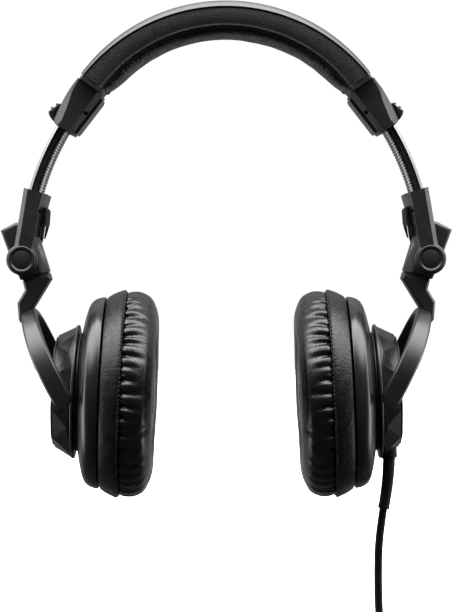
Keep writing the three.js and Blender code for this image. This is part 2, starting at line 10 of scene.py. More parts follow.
import bmesh
import bpy
import numpy as np
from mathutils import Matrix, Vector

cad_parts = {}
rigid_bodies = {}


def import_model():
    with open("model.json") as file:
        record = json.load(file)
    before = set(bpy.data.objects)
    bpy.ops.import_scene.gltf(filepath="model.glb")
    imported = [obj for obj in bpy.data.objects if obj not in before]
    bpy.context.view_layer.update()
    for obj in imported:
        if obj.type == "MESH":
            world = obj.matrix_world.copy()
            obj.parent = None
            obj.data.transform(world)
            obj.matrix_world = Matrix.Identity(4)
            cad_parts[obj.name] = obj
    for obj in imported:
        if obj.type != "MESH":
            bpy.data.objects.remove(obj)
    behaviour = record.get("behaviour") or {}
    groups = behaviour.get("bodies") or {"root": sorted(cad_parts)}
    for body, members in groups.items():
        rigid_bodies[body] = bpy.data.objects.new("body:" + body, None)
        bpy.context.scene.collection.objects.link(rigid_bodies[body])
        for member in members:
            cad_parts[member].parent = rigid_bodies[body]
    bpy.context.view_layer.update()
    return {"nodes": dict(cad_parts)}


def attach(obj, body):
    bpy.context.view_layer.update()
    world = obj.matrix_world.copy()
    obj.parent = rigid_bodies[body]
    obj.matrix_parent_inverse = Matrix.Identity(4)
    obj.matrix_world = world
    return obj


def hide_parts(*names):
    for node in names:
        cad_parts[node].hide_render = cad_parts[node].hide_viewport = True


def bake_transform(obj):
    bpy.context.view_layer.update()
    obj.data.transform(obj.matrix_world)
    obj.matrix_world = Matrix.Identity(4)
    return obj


for left_over in list(bpy.data.objects):
    bpy.data.objects.remove(left_over)
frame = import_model()
MM = 0.001
SIDES = (("right", 1), ("left", -1))

# ---- node trees


class Nodes:
    """A node tree that is put together one node at a time."""

    def __init__(self, tree):
        self.tree = tree

    def node(self, kind, inputs=(), **fields):
        """A new node with its fields set, and with a value or a link for each of the given inputs."""
        n = self.tree.nodes.new(kind)
        for key, value in fields.items():
            setattr(n, key, value)
        for key, value in dict(inputs).items():
            self.feed(n.inputs[key], value)
        return n

    def feed(self, socket, value):
        if isinstance(value, bpy.types.NodeSocket):
            self.tree.links.new(value, socket)
        else:
            socket.default_value = value

    def ranged(self, value, low, high, start=0.0, end=1.0, curve="LINEAR"):
        """The value's range start to end, mapped to low to high."""
        ends = {"Value": value, "From Min": start, "From Max": end, "To Min": low, "To Max": high}
        return self.node("ShaderNodeMapRange", ends, interpolation_type=curve).outputs["Result"]

    def maths(self, operation, a, b):
        return self.node("ShaderNodeMath", {0: a, 1: b}, operation=operation).outputs["Value"]


class Shader(Nodes):
    """A Principled material over the object's own coordinates."""

    def __init__(self, name, **sockets):
        self.material = bpy.data.materials.new(name)
        self.material.use_nodes = True
        super().__init__(self.material.node_tree)
        self.shader = self.tree.nodes["Principled BSDF"]
        for key, value in sockets.items():
            self.shader.inputs[key.replace("_", " ")].default_value = value
        self.place = self.node("ShaderNodeTexCoord").outputs["Object"]

    def stretched(self, scale):
        return self.node("ShaderNodeMapping", {"Vector": self.place, "Scale": scale}).outputs["Vector"]

    def texture(self, kind, per_m, output="Fac", where=None, inputs=(), **fields):
        inputs = {"Vector": where or self.place, "Scale": per_m, **dict(inputs)}
        return self.node("ShaderNodeTex" + kind, inputs, **fields).outputs[output]

    def noise(self, per_m, detail=3, where=None, distortion=0.0):
        grain = {"Detail": detail, "Roughness": 0.55, "Distortion": distortion}
        return self.texture("Noise", per_m, where=where, inputs=grain)

    def wave(self, per_m, direction):
        return self.texture("Wave", per_m, wave_type="BANDS", bands_direction=direction)

    def mixed(self, factor, a, b):
        return self.node("ShaderNodeMix", {"Factor": factor, 6: a, 7: b}, data_type="RGBA").outputs[2]

    def finished(self, colour, rough, *layers):
        """Links the looks. Layers are bumps as (height, depth in metres), the coarsest first."""
        normal = {}
        for height, depth in layers:
            n = self.node("ShaderNodeBump", {"Strength": 1.0, "Distance": depth, "Height": height, **normal})
            normal = {"Normal": n.outputs["Normal"]}
        for key, value in {"Base Color": colour, "Roughness": rough, **normal}.items():
            self.feed(self.shader.inputs[key], value)
        return self.material

    def edges(self):
        """1 on sharp outer edges, where a finish rubs thin and where an edge highlight is painted."""
        return self.ranged(self.node("ShaderNodeNewGeometry").outputs["Pointiness"], 0.0, 1.0, 0.52, 0.62)


def linked(name, data):
    """A new object in the scene."""
    o = bpy.data.objects.new(name, data)
    bpy.context.scene.collection.objects.link(o)
    return o


# ---- camera, light, floor

CAMERA_AT = (0.0007, -1.0, -0.117)
CAMERA_ROLL = math.radians(0.13)
LENS, SENSOR = 135.2, 36
SKY_BACK, SKY_TOP, SKY_SIDE, SKY_FRONT = 0.25, 9.0, 4.5, 0.08
PANEL_AT, PANEL_TOWARDS = (0, 0.1, 1.2), (0, 0, -0.1)
PANEL_ACROSS, PANEL_UP, PANEL_RADIANCE = 1.2, 0.5, 2.5
FLOOR_Z, FLOOR_HALF, BACKDROP_R = -0.2968, 6, 5.5
FLOOR_GLOW, FLOOR_GLOW_FROM, FLOOR_GLOW_TO = 0.6, 0.2, 0.42


def panel_above():
    """A soft panel over the object, out of the camera's sight."""
    data = bpy.data.lights.new("panel_top", "AREA")
    data.shape, data.size, data.size_y = "RECTANGLE", PANEL_ACROSS, PANEL_UP
    data.energy = PANEL_RADIANCE * math.pi * PANEL_ACROSS * PANEL_UP
    o = linked("panel_top", data)
    o.location = PANEL_AT
    direction = np.array(PANEL_TOWARDS, float) - np.array(PANEL_AT, float)
    o.rotation_mode = "QUATERNION"
    o.rotation_quaternion = Vector(direction).to_track_quat("-Z", "Y")
    o.visible_camera = False


def studio():
    scene = bpy.context.scene
    scene.view_settings.view_transform = "Standard"
    cam = linked("Camera", bpy.data.cameras.new("Camera"))
    cam.location = CAMERA_AT
    cam.rotation_euler = (math.radians(90), CAMERA_ROLL, 0)
    cam.data.lens, cam.data.sensor_width = LENS, SENSOR
    cam.data.clip_start, cam.data.clip_end = 0.05, 40
    scene.camera = cam
    world = scene.world or bpy.data.worlds.new("World")
    scene.world = world
    world.use_nodes = True
    sky(Nodes(world.node_tree))
    panel_above()


def sky(world):
    """Soft light from above and both sides, dimmer from behind, next to none in front, by direction."""
    background = world.tree.nodes["Background"]
    background.inputs["Color"].default_value = (1, 1, 1, 1)
    split = world.node("ShaderNodeSeparateXYZ", {0: world.node("ShaderNodeTexCoord").outputs["Generated"]})
    x, y, z = (split.outputs[k] for k in "XYZ")

    def step(value, start, end, low=0, high=1):
        return world.ranged(value, low, high, start, end, "SMOOTHSTEP")

    def product(first, *others):
        for other in others:
            first = world.maths("MULTIPLY", first, other)
        return first

    aside = world.maths("ABSOLUTE", x, 0)
    back = product(step(y, 0.0, 0.5, 0, SKY_BACK), step(z, -0.6, -0.1))
    top = product(step(z, 0.35, 0.7, 0, SKY_TOP), step(y, -0.75, -0.3), step(y, 0.08, 0.45, 1, 0.05))
    side = product(step(aside, 0.72, 0.88, 0, SKY_SIDE), step(y, -0.1, 0.12), step(y, 0.3, 0.6, 1, 0.25))
    side = product(side, step(z, -0.7, -0.3))
    strength = world.maths("ADD", world.maths("ADD", back, top), world.maths("ADD", side, SKY_FRONT))
    world.feed(background.inputs["Strength"], strength)


def stage_part(name, material, make, **size):
    """A plain shape that the camera sees but that lights and shades nothing."""
    bm = bmesh.new()
    make(bm, **size)
    mesh = bpy.data.meshes.new(name)
    bm.to_mesh(mesh)
    bm.free()
    mesh.materials.append(material)
    o = linked(name, mesh)
    o.visible_diffuse = o.visible_glossy = False
    o.visible_transmission = o.visible_shadow = False
    return o


def stage():
    lit = {"Roughness": 0.9, "Emission_Color": (1, 1, 1, 1)}
    pale = Shader("pale_floor", Base_Color=(0.5, 0.5, 0.5, 1), **lit)
    white = Shader("white_backdrop", Base_Color=(0, 0, 0, 1), Emission_Strength=1.0, **lit)
    flat, ball = bmesh.ops.create_grid, bmesh.ops.create_uvsphere
    floor = stage_part("floor", pale.material, flat, x_segments=8, y_segments=8, size=FLOOR_HALF)
    floor.location = (0, 0, FLOOR_Z)
    dome = stage_part("backdrop", white.material, ball, u_segments=48, v_segments=24, radius=BACKDROP_R)
    away = pale.node("ShaderNodeVectorMath", {0: pale.place}, operation="LENGTH").outputs["Value"]
    glow = pale.ranged(away, FLOOR_GLOW, 1.0, FLOOR_GLOW_FROM, FLOOR_GLOW_TO)
    pale.feed(pale.shader.inputs["Emission Strength"], glow)


studio()
stage()

# ---- materials


def grey(v, tint=1.0):
    return (v, v, v * tint, 1)


def plastic(name, tone, rough, spark=0.0, grain_mm=0.3, grain_depth=0.00001, edge_wear_and_highlight=0.008, coat=0.0, ior=1.47):
    """A moulding with a fine grain, light smudges, and edges lightened as rubbed wear and as a painted
    highlight.
    """
    s = Shader(name, Coat_Weight=coat, Coat_Roughness=0.12, IOR=ior)
    fine = s.noise(1 / (grain_mm * MM), 2)
    broad = s.noise(45, 4)
    body = s.mixed(s.ranged(broad, 0, 1, 0.3, 0.7), grey(tone * 0.82, 1.03), grey(tone * 1.15, 1.06))
    if spark:
        body = s.mixed(s.ranged(fine, 0, 1, 0.5, 0.75), body, grey(tone + spark, 1.05))
    # painted highlight and rubbed wear: sharp edges are lightened in patches
    rubbed_and_highlit = s.maths("MULTIPLY", s.edges(), s.ranged(s.noise(600, 3), 0, 1, 0.42, 0.66))
    colour = s.mixed(rubbed_and_highlit, body, grey(tone + edge_wear_and_highlight, 1.02))
    smudge = s.ranged(s.noise(130, 5, distortion=0.6), rough - 0.02, rough + 0.03, 0.3, 0.7)
    return s.finished(colour, s.maths("ADD", smudge, s.ranged(fine, -0.02, 0.02)), (fine, grain_depth))


def leather(name, tone, cell_mm, depth, rough, sheen=0.0, folds=0.0, ior=1.37):
    """Pebbled leatherette: warped cells between creases, with painted shade in the creases, worn patches
    and, below them, broad folds.
    """
    s = Shader(name, Sheen_Weight=sheen, Sheen_Roughness=0.4, IOR=ior)
    warp = {0: s.texture("Noise", 260, "Color"), 1: (1.2 * cell_mm * MM,) * 3, 2: s.place}
    there = s.node("ShaderNodeVectorMath", warp, operation="MULTIPLY_ADD").outputs["Vector"]
    cells = s.texture("Voronoi", 1000 / cell_mm, "Distance", there, feature="SMOOTH_F1")
    creases = s.texture("Voronoi", 1000 / cell_mm, "Distance", there, feature="DISTANCE_TO_EDGE")
    small = s.noise(1000 / cell_mm * 2.4, 3, there)
    pebble = s.ranged(creases, 0, 1, 0.0, 0.22)
    height = s.maths("ADD", s.maths("MULTIPLY", pebble, 0.7), s.maths("MULTIPLY", cells, -0.5))
    patches = s.ranged(s.noise(38, 4), 0, 1, 0.35, 0.68)
    worn = s.mixed(patches, grey(tone * 0.8, 1.02), grey(tone * 1.25, 1.05))
    smudge = s.ranged(s.noise(160, 4), -0.05, 0.07, 0.3, 0.7)
    dull = s.maths("ADD", s.ranged(pebble, rough + 0.1, rough), smudge)
    layers = [(s.noise(150, 4, distortion=0.8), folds)] if folds else []
    layers += [(height, depth), (small, depth * 0.35)]
    # painted shade: the creases between the cells are darkened to 0.45 of the tone
    return s.finished(s.mixed(pebble, grey(tone * 0.45), worn), dull, *layers)


def woven(name, tone, thread_mm, depth):
    """A plain weave, a little fuzzy."""
    s = Shader(name, Sheen_Weight=0.3, Sheen_Roughness=0.5)
    per_m = 1 / (thread_mm * MM) / 2 * 0.62
    over = s.maths("MULTIPLY", s.wave(per_m, "Y"), s.wave(per_m, "Z"))
    soft = s.noise(900, 3)
    colour = s.mixed(over, grey(tone * 0.3), s.mixed(soft, grey(tone * 0.9), grey(tone * 1.4)))
    layers = [(s.noise(70, 2), 0.0003), (over, depth), (soft, depth * 0.3)]
    return s.finished(colour, s.ranged(over, 0.95, 0.72), *layers)


def metal(name, tone, rough, stretch=(1, 14, 1)):
    """Metal with fine lines across the stretched axes."""
    s = Shader(name, Metallic=1.0)
    lines = s.noise(2600, 3, s.stretched(stretch))
    broad = s.noise(160, 4)
    dull = s.maths("ADD", s.ranged(lines, rough - 0.06, rough + 0.1), s.ranged(broad, -0.03, 0.05))
    return s.finished(s.mixed(broad, grey(tone * 0.82), grey(tone)), dull, (lines, 0.000006))


def rubber(name, tone, rough, ring_mm=0.0):
    """Dull rubber, with faint rings along Z when ring_mm gives their pitch."""
    s = Shader(name, IOR=1.4, Specular_IOR_Level=0.15)
    fine, broad = s.noise(4200, 3), s.noise(220, 4)
    layers = [(broad, 0.00005), (fine, 0.00001)]
    if ring_mm:
        layers.append((s.wave(1 / (ring_mm * MM) / 6.2, "Z"), 0.00002))
    colour = s.mixed(broad, grey(tone * 0.75), grey(tone * 1.3, 1.03))
    return s.finished(colour, s.ranged(fine, rough - 0.06, rough + 0.1), *layers)


MATTE = plastic("matte_moulding", 0.011, 0.42, grain_depth=0.000012)
COVER = plastic("cover_moulding", 0.02, 0.38, grain_mm=0.25, grain_depth=0.000008, ior=1.54)
SATIN = plastic("satin_moulding", 0.017, 0.32, spark=0.01, grain_mm=0.16, grain_depth=0.000006)
GLOSS = plastic("gloss_moulding", 0.007, 0.36, grain_mm=0.4, grain_depth=0.000002, coat=0.1)
SHELL = plastic("shell_moulding", 0.007, 0.25, spark=0.01, grain_mm=0.2, grain_depth=0.000003)
GEM = plastic("facet_moulding", 0.007, 0.25, spark=0.01, grain_mm=0.16, grain_depth=0.000005, ior=1.31)
ARM = plastic("arm_moulding", 0.011, 0.3, grain_mm=0.2, grain_depth=0.000006, edge_wear_and_highlight=0.03)
INNER = plastic("inner_moulding", 0.014, 0.5)
WRAP = leather("band_leatherette", 0.019, 0.75, 0.00008, 0.5, sheen=0.1)
PAD = leather("pad_leatherette", 0.004, 0.9, 0.00004, 0.18, folds=0.00016, ior=1.46)
BANDPAD = leather("pebbled_leatherette", 0.004, 1.9, 0.00028, 0.27, folds=0.00006)
SKIRT = leather("skirt_leatherette", 0.004, 0.95, 0.00007, 0.23, folds=0.00004)
CLOTH = woven("speaker_cloth_weave", 0.01, 0.55, 0.00012)
THREAD = woven("thread", 0.03, 0.2, 0.00003)
STEEL = metal("blackened_pins", 0.06, 0.32)
SPRING = metal("spring_steel", 0.42, 0.34, (14, 1, 14))
PLATED = metal("plated_contacts", 0.72, 0.16, (14, 1, 1))
RUBBER = rubber("soft_rubber", 0.007, 0.6)
CORDSKIN = rubber("cord_jacket", 0.004, 0.6, ring_mm=1.1)
# painted highlight: a lighter metal laid on the arm's teeth and edge strips for their light and shade
ARM_HIGHLIGHT = metal("arm_painted_highlight_metal", 0.2, 0.3, (3, 3, 3))
DRIVER = plastic("driver_frame_moulding", 0.03, 0.4)

# ---- shapes


def rad(d):
    return d * math.pi / 180


def cosd(d):
    return math.cos(rad(d))


def sind(d):
    return math.sin(rad(d))


def lerp(a, b, t):
    return a + (b - a) * t


def unit(rows):
    """Each row as a vector of length 1."""
    return rows / np.linalg.norm(rows, axis=1)[:, None]


def quads(rings, n, closed_rings=False):
    """Faces of a tube of rings with n points each, joined to a loop or closed at both ends."""
    out = []
    for i in range(rings if closed_rings else rings - 1):
        a, b = i * n, ((i + 1) % rings) * n
        out += [(a + j, a + (j + 1) % n, b + (j + 1) % n, b + j) for j in range(n)]
    if not closed_rings:
        out.append(tuple(range(n))[::-1])
        out.append(tuple(range((rings - 1) * n, rings * n)))
    return out


class Solid:
    """Points in millimetres and faces."""

    def __init__(self, points, faces):
        self.points = np.array(points, float).reshape(-1, 3)
        self.faces = [tuple(f) for f in faces]

    def moved(self, d):
        return Solid(self.points + np.array(d, float), self.faces)

    def side(self, s):
        return self if s > 0 else Solid(self.points * (-1, 1, 1), [f[::-1] for f in self.faces])

    def about_y(self, degrees, at=(0, 0, 0)):
        c, s = cosd(degrees), sind(degrees)
        p = self.points - at
        turned_points = np.stack([p[:, 0] * c + p[:, 2] * s, p[:, 1], p[:, 2] * c - p[:, 0] * s], 1)
        return Solid(turned_points + at, self.faces)

    def plus(self, *others):
        points, faces = [self.points], list(self.faces)
        count = len(self.points)
        for o in others:
            faces += [tuple(k + count for k in f) for f in o.faces]
            points.append(o.points)
            count += len(o.points)
        return Solid(np.concatenate(points), faces)


def loft(rings, closed_rings=False):
    rings = np.array(rings, float)
    return Solid(rings.reshape(-1, 3), quads(len(rings), rings.shape[1], closed_rings))


def turned(profile, axis, segments=96):
    """A profile of [along, radius] turned about an axis: closed, or from the axis to the axis."""
    profile = np.array(profile, float)
    a = np.arange(segments) * 2 * math.pi / segments
    rings = []
    for t in a:
        along, r = profile[:, 0], profile[:, 1]
        u, v = r * math.cos(t), r * math.sin(t)
        rings.append(np.stack({"x": (along, v, u), "y": (u, along, -v), "z": (u, v, along)}[axis], 1))
    if profile[0, 1] > 1e-9:
        return loft(rings, closed_rings=True)
    rings = np.array(rings)
    n, m = segments, len(profile)
    inner = rings[:, 1:-1].reshape(-1, 3)
    ends = rings[0, [0, -1]]
    k = m - 2
    faces = []
    for i in range(n):
        j = (i + 1) % n
        faces += [(i * k + q, i * k + q + 1, j * k + q + 1, j * k + q) for q in range(k - 1)]
        faces += [(n * k, i * k, j * k), (i * k + k - 1, n * k + 1, j * k + k - 1)]
    return Solid(np.concatenate([inner, ends]), faces)


def swept(centre, start, end, steps, section_at):
    """A section of [radius, y] swept round an arc in XZ."""
    cx, cz = centre
    rings = []
    for i in range(steps + 1):
        t = i / steps
        a = lerp(start, end, t)
        rings.append([[cx + r * cosd(a), y, cz + r * sind(a)] for r, y in section_at(t)])
    return loft(rings)


def both(half):
    """A closed section of [radius, y] from its +Y half."""
    return [[r, -y] for r, y in half] + [list(p) for p in half[::-1]]


def inset(outline, d):
    """The outline moved inwards by d, mitred."""
    p = np.array(outline, float)
    area = np.sum(p[:, 0] * np.roll(p[:, 1], -1) - np.roll(p[:, 0], -1) * p[:, 1])
    s = 1 if area > 0 else -1
    e = unit(np.roll(p, -1, 0) - p)
    n = np.stack([-e[:, 1], e[:, 0]], 1) * s
    m = n + np.roll(n, 1, 0)
    m /= np.maximum((m * m).sum(1), 0.3)[:, None] / 2
    return p + m * d


def slab(outline, y0, y1, chamfer=0.0):
    """An outline in XZ made thick along Y, with chamfered edges."""
    ends = [(y0, 0), (y1, 0)]
    if chamfer:
        ends = [(y0, chamfer), (y0 + chamfer, 0), (y1 - chamfer, 0), (y1, chamfer)]
    return loft([[[x, y, z] for x, z in inset(outline, d)] for y, d in ends])


def rod(axis, start, end, r, segments=48):
    return turned([[start, 0], [start, r], [end, r], [end, 0]], axis, segments)


def box2(half_t, half_depth):
    return [(-half_t, -half_depth), (half_t, -half_depth), (half_t, half_depth), (-half_t, half_depth)]


def smooth_line(points, count):
    """A Catmull-Rom curve through the points, spaced evenly."""
    p = np.array(points, float)
    p = np.concatenate([[2 * p[0] - p[1]], p, [2 * p[-1] - p[-2]]])
    fine = []
    for i in range(1, len(p) - 2):
        for t in np.linspace(0, 1, 24, endpoint=False):
            a, b, c, d = p[i - 1 : i + 3]
            bend, twist = (2 * a - 5 * b + 4 * c - d) * t * t, (3 * b - a - 3 * c + d) * t**3
            fine.append(0.5 * (2 * b + (c - a) * t + bend + twist))
    fine = np.array([*fine, p[-2]])
    along = np.concatenate([[0], np.cumsum(np.linalg.norm(np.diff(fine, axis=0), axis=1))])
    at = np.linspace(0, along[-1], count)
    return np.stack([np.interp(at, along, fine[:, k]) for k in range(3)], 1)


def tube(line, radius_at, sides=20):
    """A round tube along a line, with radius_at(share) in millimetres."""
    line = np.array(line, float)
    tangents = unit(np.gradient(line, axis=0))
    side = np.cross(tangents[0], (0.0, 1.0, 0.0))
    if np.linalg.norm(side) < 1e-3:
        side = np.cross(tangents[0], (1.0, 0.0, 0.0))
    rings = []
    for i, (at, along) in enumerate(zip(line, tangents)):
        side = side - along * (side @ along)
        side /= np.linalg.norm(side)
        other = np.cross(along, side)
        a = np.arange(sides) * 2 * math.pi / sides
        r = radius_at(i / (len(line) - 1))
        rings.append(at + r * (np.cos(a)[:, None] * side + np.sin(a)[:, None] * other))
    return loft(rings)


def mesh_of(name, solid):
    mesh = bpy.data.meshes.new(name)
    mesh.from_pydata([tuple(p) for p in solid.points * MM], [], solid.faces)
    bm = bmesh.new()
    bm.from_mesh(mesh)
    bmesh.ops.recalc_face_normals(bm, faces=bm.faces)
    bm.to_mesh(mesh)
    bm.free()
    return mesh


def piece(name, solid, body, material, stands_for=(), slot=None, sharp=32, bevel=0.0, cuts=()):
    """Makes a solid into a shown piece that rides on a body and stands for CAD nodes."""
    o = linked(name, mesh_of(name, solid))
    if cuts:
        carve(o, cuts)
    o.data.materials.clear()
    o.data.materials.append(material)
    finish_shape(o, sharp, bevel)
    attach(o, body)
    if stands_for:
        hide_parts(*stands_for)
    return o


def maker(side, s):
    """One side's piece(): it adds the side to the names and mirrors the solids for the left."""

    def make(name, solid, body, material, node="", slot=None, cuts=(), **edges):
        body = body if body == "headband" else f"{side}_{body}"
        stands_for = [f"{side}_{node}"] if node else ()
        cuts = [c.side(s) for c in cuts]
        return piece(f"{side}_{name}", solid.side(s), body, material, stands_for, slot, cuts=cuts, **edges)

    return make


def carve(o, cuts):
    """Cuts solids out of o, for good."""
    tools = [linked("tool", mesh_of("tool", c)) for c in cuts]
    for t in tools:
        m = o.modifiers.new("cut", "BOOLEAN")
        m.operation, m.solver, m.object = "DIFFERENCE", "EXACT", t
    bpy.context.view_layer.update()
    made = bpy.data.meshes.new_from_object(o.evaluated_get(bpy.context.evaluated_depsgraph_get()))
    o.modifiers.clear()
    o.data = made
    for t in tools:
        bpy.data.objects.remove(t)


def soften(o, width, segments, angle):
    """Rounds the edges that are sharper than the angle, and keeps flat faces flat. Returns the bevel."""
    b = o.modifiers.new("edges", "BEVEL")
    b.width, b.segments = width * MM, segments
    b.limit_method, b.angle_limit = "ANGLE", rad(angle)
    w = o.modifiers.new("normals", "WEIGHTED_NORMAL")
    w.weight, w.keep_sharp = 60, False
    return b


def smooth_faces(o):
    o.data.polygons.foreach_set("use_smooth", [True] * len(o.data.polygons))


def finish_shape(o, sharp, bevel=0.0):
    smooth_faces(o)
    if bevel:
        soften(o, bevel, 2, 24)
    else:
        o.data.set_sharp_from_angle(angle=rad(sharp))
    o.data.update()


def dress(node, material, bevel):
    """A CAD node that stays: its own shape, softened edges and a detailed material."""
    o = frame["nodes"][node]
    o.data.materials.clear()
    o.data.materials.append(material)
    o.modifiers.new("weld", "WELD").merge_threshold = 0.00002
    flat = o.modifiers.new("flat", "DECIMATE")
    flat.decimate_type, flat.angle_limit = "DISSOLVE", rad(1.5)
    soften(o, bevel, 3, 28).miter_outer = "MITER_ARC"
    smooth_faces(o)


# ---- cord

CORD_D = 3.5
COIL, COIL_R, TURNS = (90.0, 0.0, -288.0), 21.0, 9
BUNDLE_R = 4.6
PLUG_Z = -277.1
RELIEF = [(70.6, 0, -182.6), (70.5, 0, -186.2), (70.1, 0, -192), (69.3, 0, -198.5), (68.15, 0, -205.3)]
CORD_HANG = [
    (70.45, 0, -187.5), (70.1, 0, -192), (69.3, 0, -198.5), (68.1, 0, -205.2), (67.4, 0, -210),
    (66.6, 0, -216), (66, 0, -223), (65.8, 0, -231), (65.8, 0, -239), (66, 0, -247), (66.4, 0, -255),
    (67, 0, -263), (67.8, 0, -270), (68.3, 0.4, -275.2), (69.1, 1.6, -279.4), (70.5, 4.3, -282.5),
]
CORD_END = [(64.5, 6.2, -282.1), (66, 12.2, -280.6), (69.8, 17.8, -278.6), (75.2, 20.7, -277.3)]


def coil_line():
    """Nine turns side by side and on each other, clockwise from above, then up to the plug."""
    points = []
    last = TURNS - 1
    for step in range(TURNS * 36 - 1):
        turn = step / 36
        k, share = min(int(turn), last), min(turn - min(int(turn), last), 1)
        shift = 0 if share < 0.8 else (share - 0.8) / 0.2
        shift = shift * shift * (3 - 2 * shift)
        here, there = coil_place(k), coil_place(min(k + 1, last))
        out, up = lerp(here[0], there[0], shift), lerp(here[1], there[1], shift)
        a, r = 157 - 360 * turn, COIL_R + out
        points.append((COIL[0] + r * cosd(a), r * sind(a), COIL[2] + up))
    return points


def coil_place(k):
    """The k-th turn's place in the bundle: eight round a hollow and the last on their shoulder."""
    if k == TURNS - 1:
        return 5.3, 5.0
    a = 112.5 + 45 * k
    return BUNDLE_R * cosd(a), BUNDLE_R * sind(a)


def cord_piece(name, solid, material, sharp):
    o = linked(name, mesh_of(name, solid))
    o.data.materials.append(material)
    finish_shape(o, sharp)
    return o


def build_cord():
    line = smooth_line([*CORD_HANG, *coil_line(), *CORD_END, (80, 21, PLUG_Z)], 1500)
    o = cord_piece("right_cord_jacket", tube(line, lambda t: CORD_D / 2, 16), CORDSKIN, 60)
    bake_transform(o)
    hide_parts("cord", "cord_coil")
    return o, line


def build_relief():
    """The smooth tapering boot where the cord leaves the cup, with a rolled lip at its foot."""

    def radius(t):
        neat = lerp(2.68, 2.42, t) + 0.1 * max(0, 1 - abs(t - 0.16) / 0.03)
        if t > 0.93:
            neat += 0.14 * math.sin(math.pi * min(1, (t - 0.93) / 0.065))
        return neat if t < 0.995 else neat - 0.35

    o = cord_piece("right_strain_relief", tube(smooth_line(RELIEF, 120), radius, 40), RUBBER, 50)
    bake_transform(o)
    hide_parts("strain_relief")
    return o


def build_plug():
    """The plug: a grip with rings, its contacts and the insulators between them."""
    centre, body = (COIL[0], COIL_R, PLUG_Z), "right_cord"
    grip = [[-14, 0], [-14, 1.9], [-13.6, 2.25], [-12.6, 2.35]]
    for k in range(4):
        x, wider = -12.2 + 1.5 * k, 0.12 * k
        grip += [[x, 2.4 + wider], [x + 0.25, 2.0 + wider], [x + 0.75, 2.0 + wider], [x + 1, 2.5 + wider]]
    grip += [[-5.6, 3.1], [-5.1, 3.75], [-4.4, 3.9]]
    for k in range(5):
        x = 0.4 + 1.5 * k
        grip += [[x, 3.9], [x + 0.2, 3.62], [x + 0.7, 3.62], [x + 0.9, 3.9]]
    grip += [[9.9, 3.9], [10.6, 3.6], [11, 3.1], [11, 0]]
    grip = turned(grip, "x", 64).moved(centre)
    barrel = piece("plug_barrel", grip, body, MATTE, ["plug_body"], "matte_black", sharp=50)
    tip = [[11.2, 0], [11.2, 2.6], [11.6, 2.7], [11.9, 2.4], [11.9, 1.75], [18.4, 1.75], [18.4, 1.66]]
    tip += [[18.9, 1.66], [18.9, 1.75], [20.7, 1.75], [20.7, 1.66], [21.2, 1.66], [21.2, 1.75], [22.3, 1.75]]
    tip += [[22.9, 1.2], [23.5, 1.2], [24.4, 1.68], [25.1, 0.7], [25.3, 0]]
    tip = turned(tip, "x", 48).moved(centre)
    contacts = piece("plug_contacts", tip, body, PLATED, ["plug_tip"], "steel", sharp=40)
    ring = turned([[18.45, 1.1], [18.45, 1.72], [18.85, 1.72], [18.85, 1.1]], "x", 40)
    rings = ring.plus(ring.moved((2.3, 0, 0)))
    dark = piece("plug_insulators", rings.moved(centre), body, INNER, slot="matte_black")
    return [barrel, contacts, dark]


def build_tie():
    """A soft band round the coil's bundle, drawn through its own slot."""
    places = [coil_place(k) for k in range(TURNS)]
    angles = range(0, 360, 5)
    reaches = [max(x * cosd(a) + z * sind(a) for x, z in places) + CORD_D / 2 for a in angles]

    def spot(reach, a, y=0):
        return np.array([COIL[0] + COIL_R + reach * cosd(a), y, COIL[2] + reach * sind(a)])

    outer = ((-4, 0.3), (-3.7, 0.95), (-1.3, 1.05), (0, 0.95), (1.3, 1.05), (3.7, 0.95), (4, 0.3))
    inner = ((3.5, 0.25), (0, 0.25), (-3.5, 0.25))
    rings = [[spot(reach + grow, a, y) for a, reach in zip(angles, reaches)] for y, grow in outer + inner]
    band = loft(rings, closed_rings=True)
    tail = []
    for k in range(15):
        t = k / 14
        a = 52 + 30 * t
        out = np.array([cosd(a), 0, sind(a)])
        at = spot(1.9 + 1.1 * math.sin(math.pi * t) * 0.6 + np.interp(a, angles, reaches), a)
        half = 3 if t < 0.85 else 3 * math.sqrt(max(0.05, 1 - ((t - 0.85) / 0.15) ** 2))
        corners = ((-half, -0.35), (half, -0.35), (half, 0.35), (-half, 0.35))
        tail.append([at + out * h + (0, y, 0) for y, h in corners])
    tie = band.plus(loft(tail))
    return piece("coil_band", tie, "right_cord", RUBBER, ["coil_tie"], "black_rubber", sharp=40)


def cord_and_plug():
    jacket, line = build_cord()
    parts = [build_relief(), *build_plug(), build_tie()]


cord_and_plug()

# ---- headband

BAND_CENTRE = (0.0, -63.4)
BAND_R, BAND_IN = 77.5, 66.2
BAND_HALF = 16.8
BAND_ANGLE, PAD_ANGLE, PIPING_ANGLE = 53.2, 52.6, 52.5
PIPING_R = 0.62
PAD_CURVE = 44
ARM_CENTRE = (-27.3, -98.6)
ARM_R, ARM_T, ARM_DEPTH = 114.1, 5.8, 15.0
CHANNEL_GAP = 0.3


def arm_sweep(start, end, steps, section):
    return swept(ARM_CENTRE, start, end, steps, lambda t: [[ARM_R + u, y] for u, y in section])


def channel():
    """The room that a slider arm needs in its housing and in the headband."""
    return arm_sweep(27, 44.5, 24, box2(ARM_T / 2 + CHANNEL_GAP, ARM_DEPTH / 2 + CHANNEL_GAP))


def band(steps, section_at, half=BAND_ANGLE):
    """A section swept along the headband; section_at takes 0 at the crown and 1 at either end."""
    return swept(BAND_CENTRE, 90 + half, 90 - half, steps, lambda t: section_at(abs(2 * t - 1)))


def cover_floor(end):
    return BAND_R - lerp(3.0, 1.7, end * end)


def cover_section(end):
    floor = cover_floor(end)
    half = [[floor, 0.9 * BAND_HALF], [floor, BAND_HALF - 0.1], [floor + 0.08, BAND_HALF + 0.15]]
    half += [[floor + 0.28, BAND_HALF + 0.22], [floor + 0.45, BAND_HALF + 0.1]]
    half += [[BAND_R - 0.15, BAND_HALF - 1.95], [BAND_R - 0.05, BAND_HALF - 2.3], [BAND_R, BAND_HALF - 2.8]]
    return both(half)


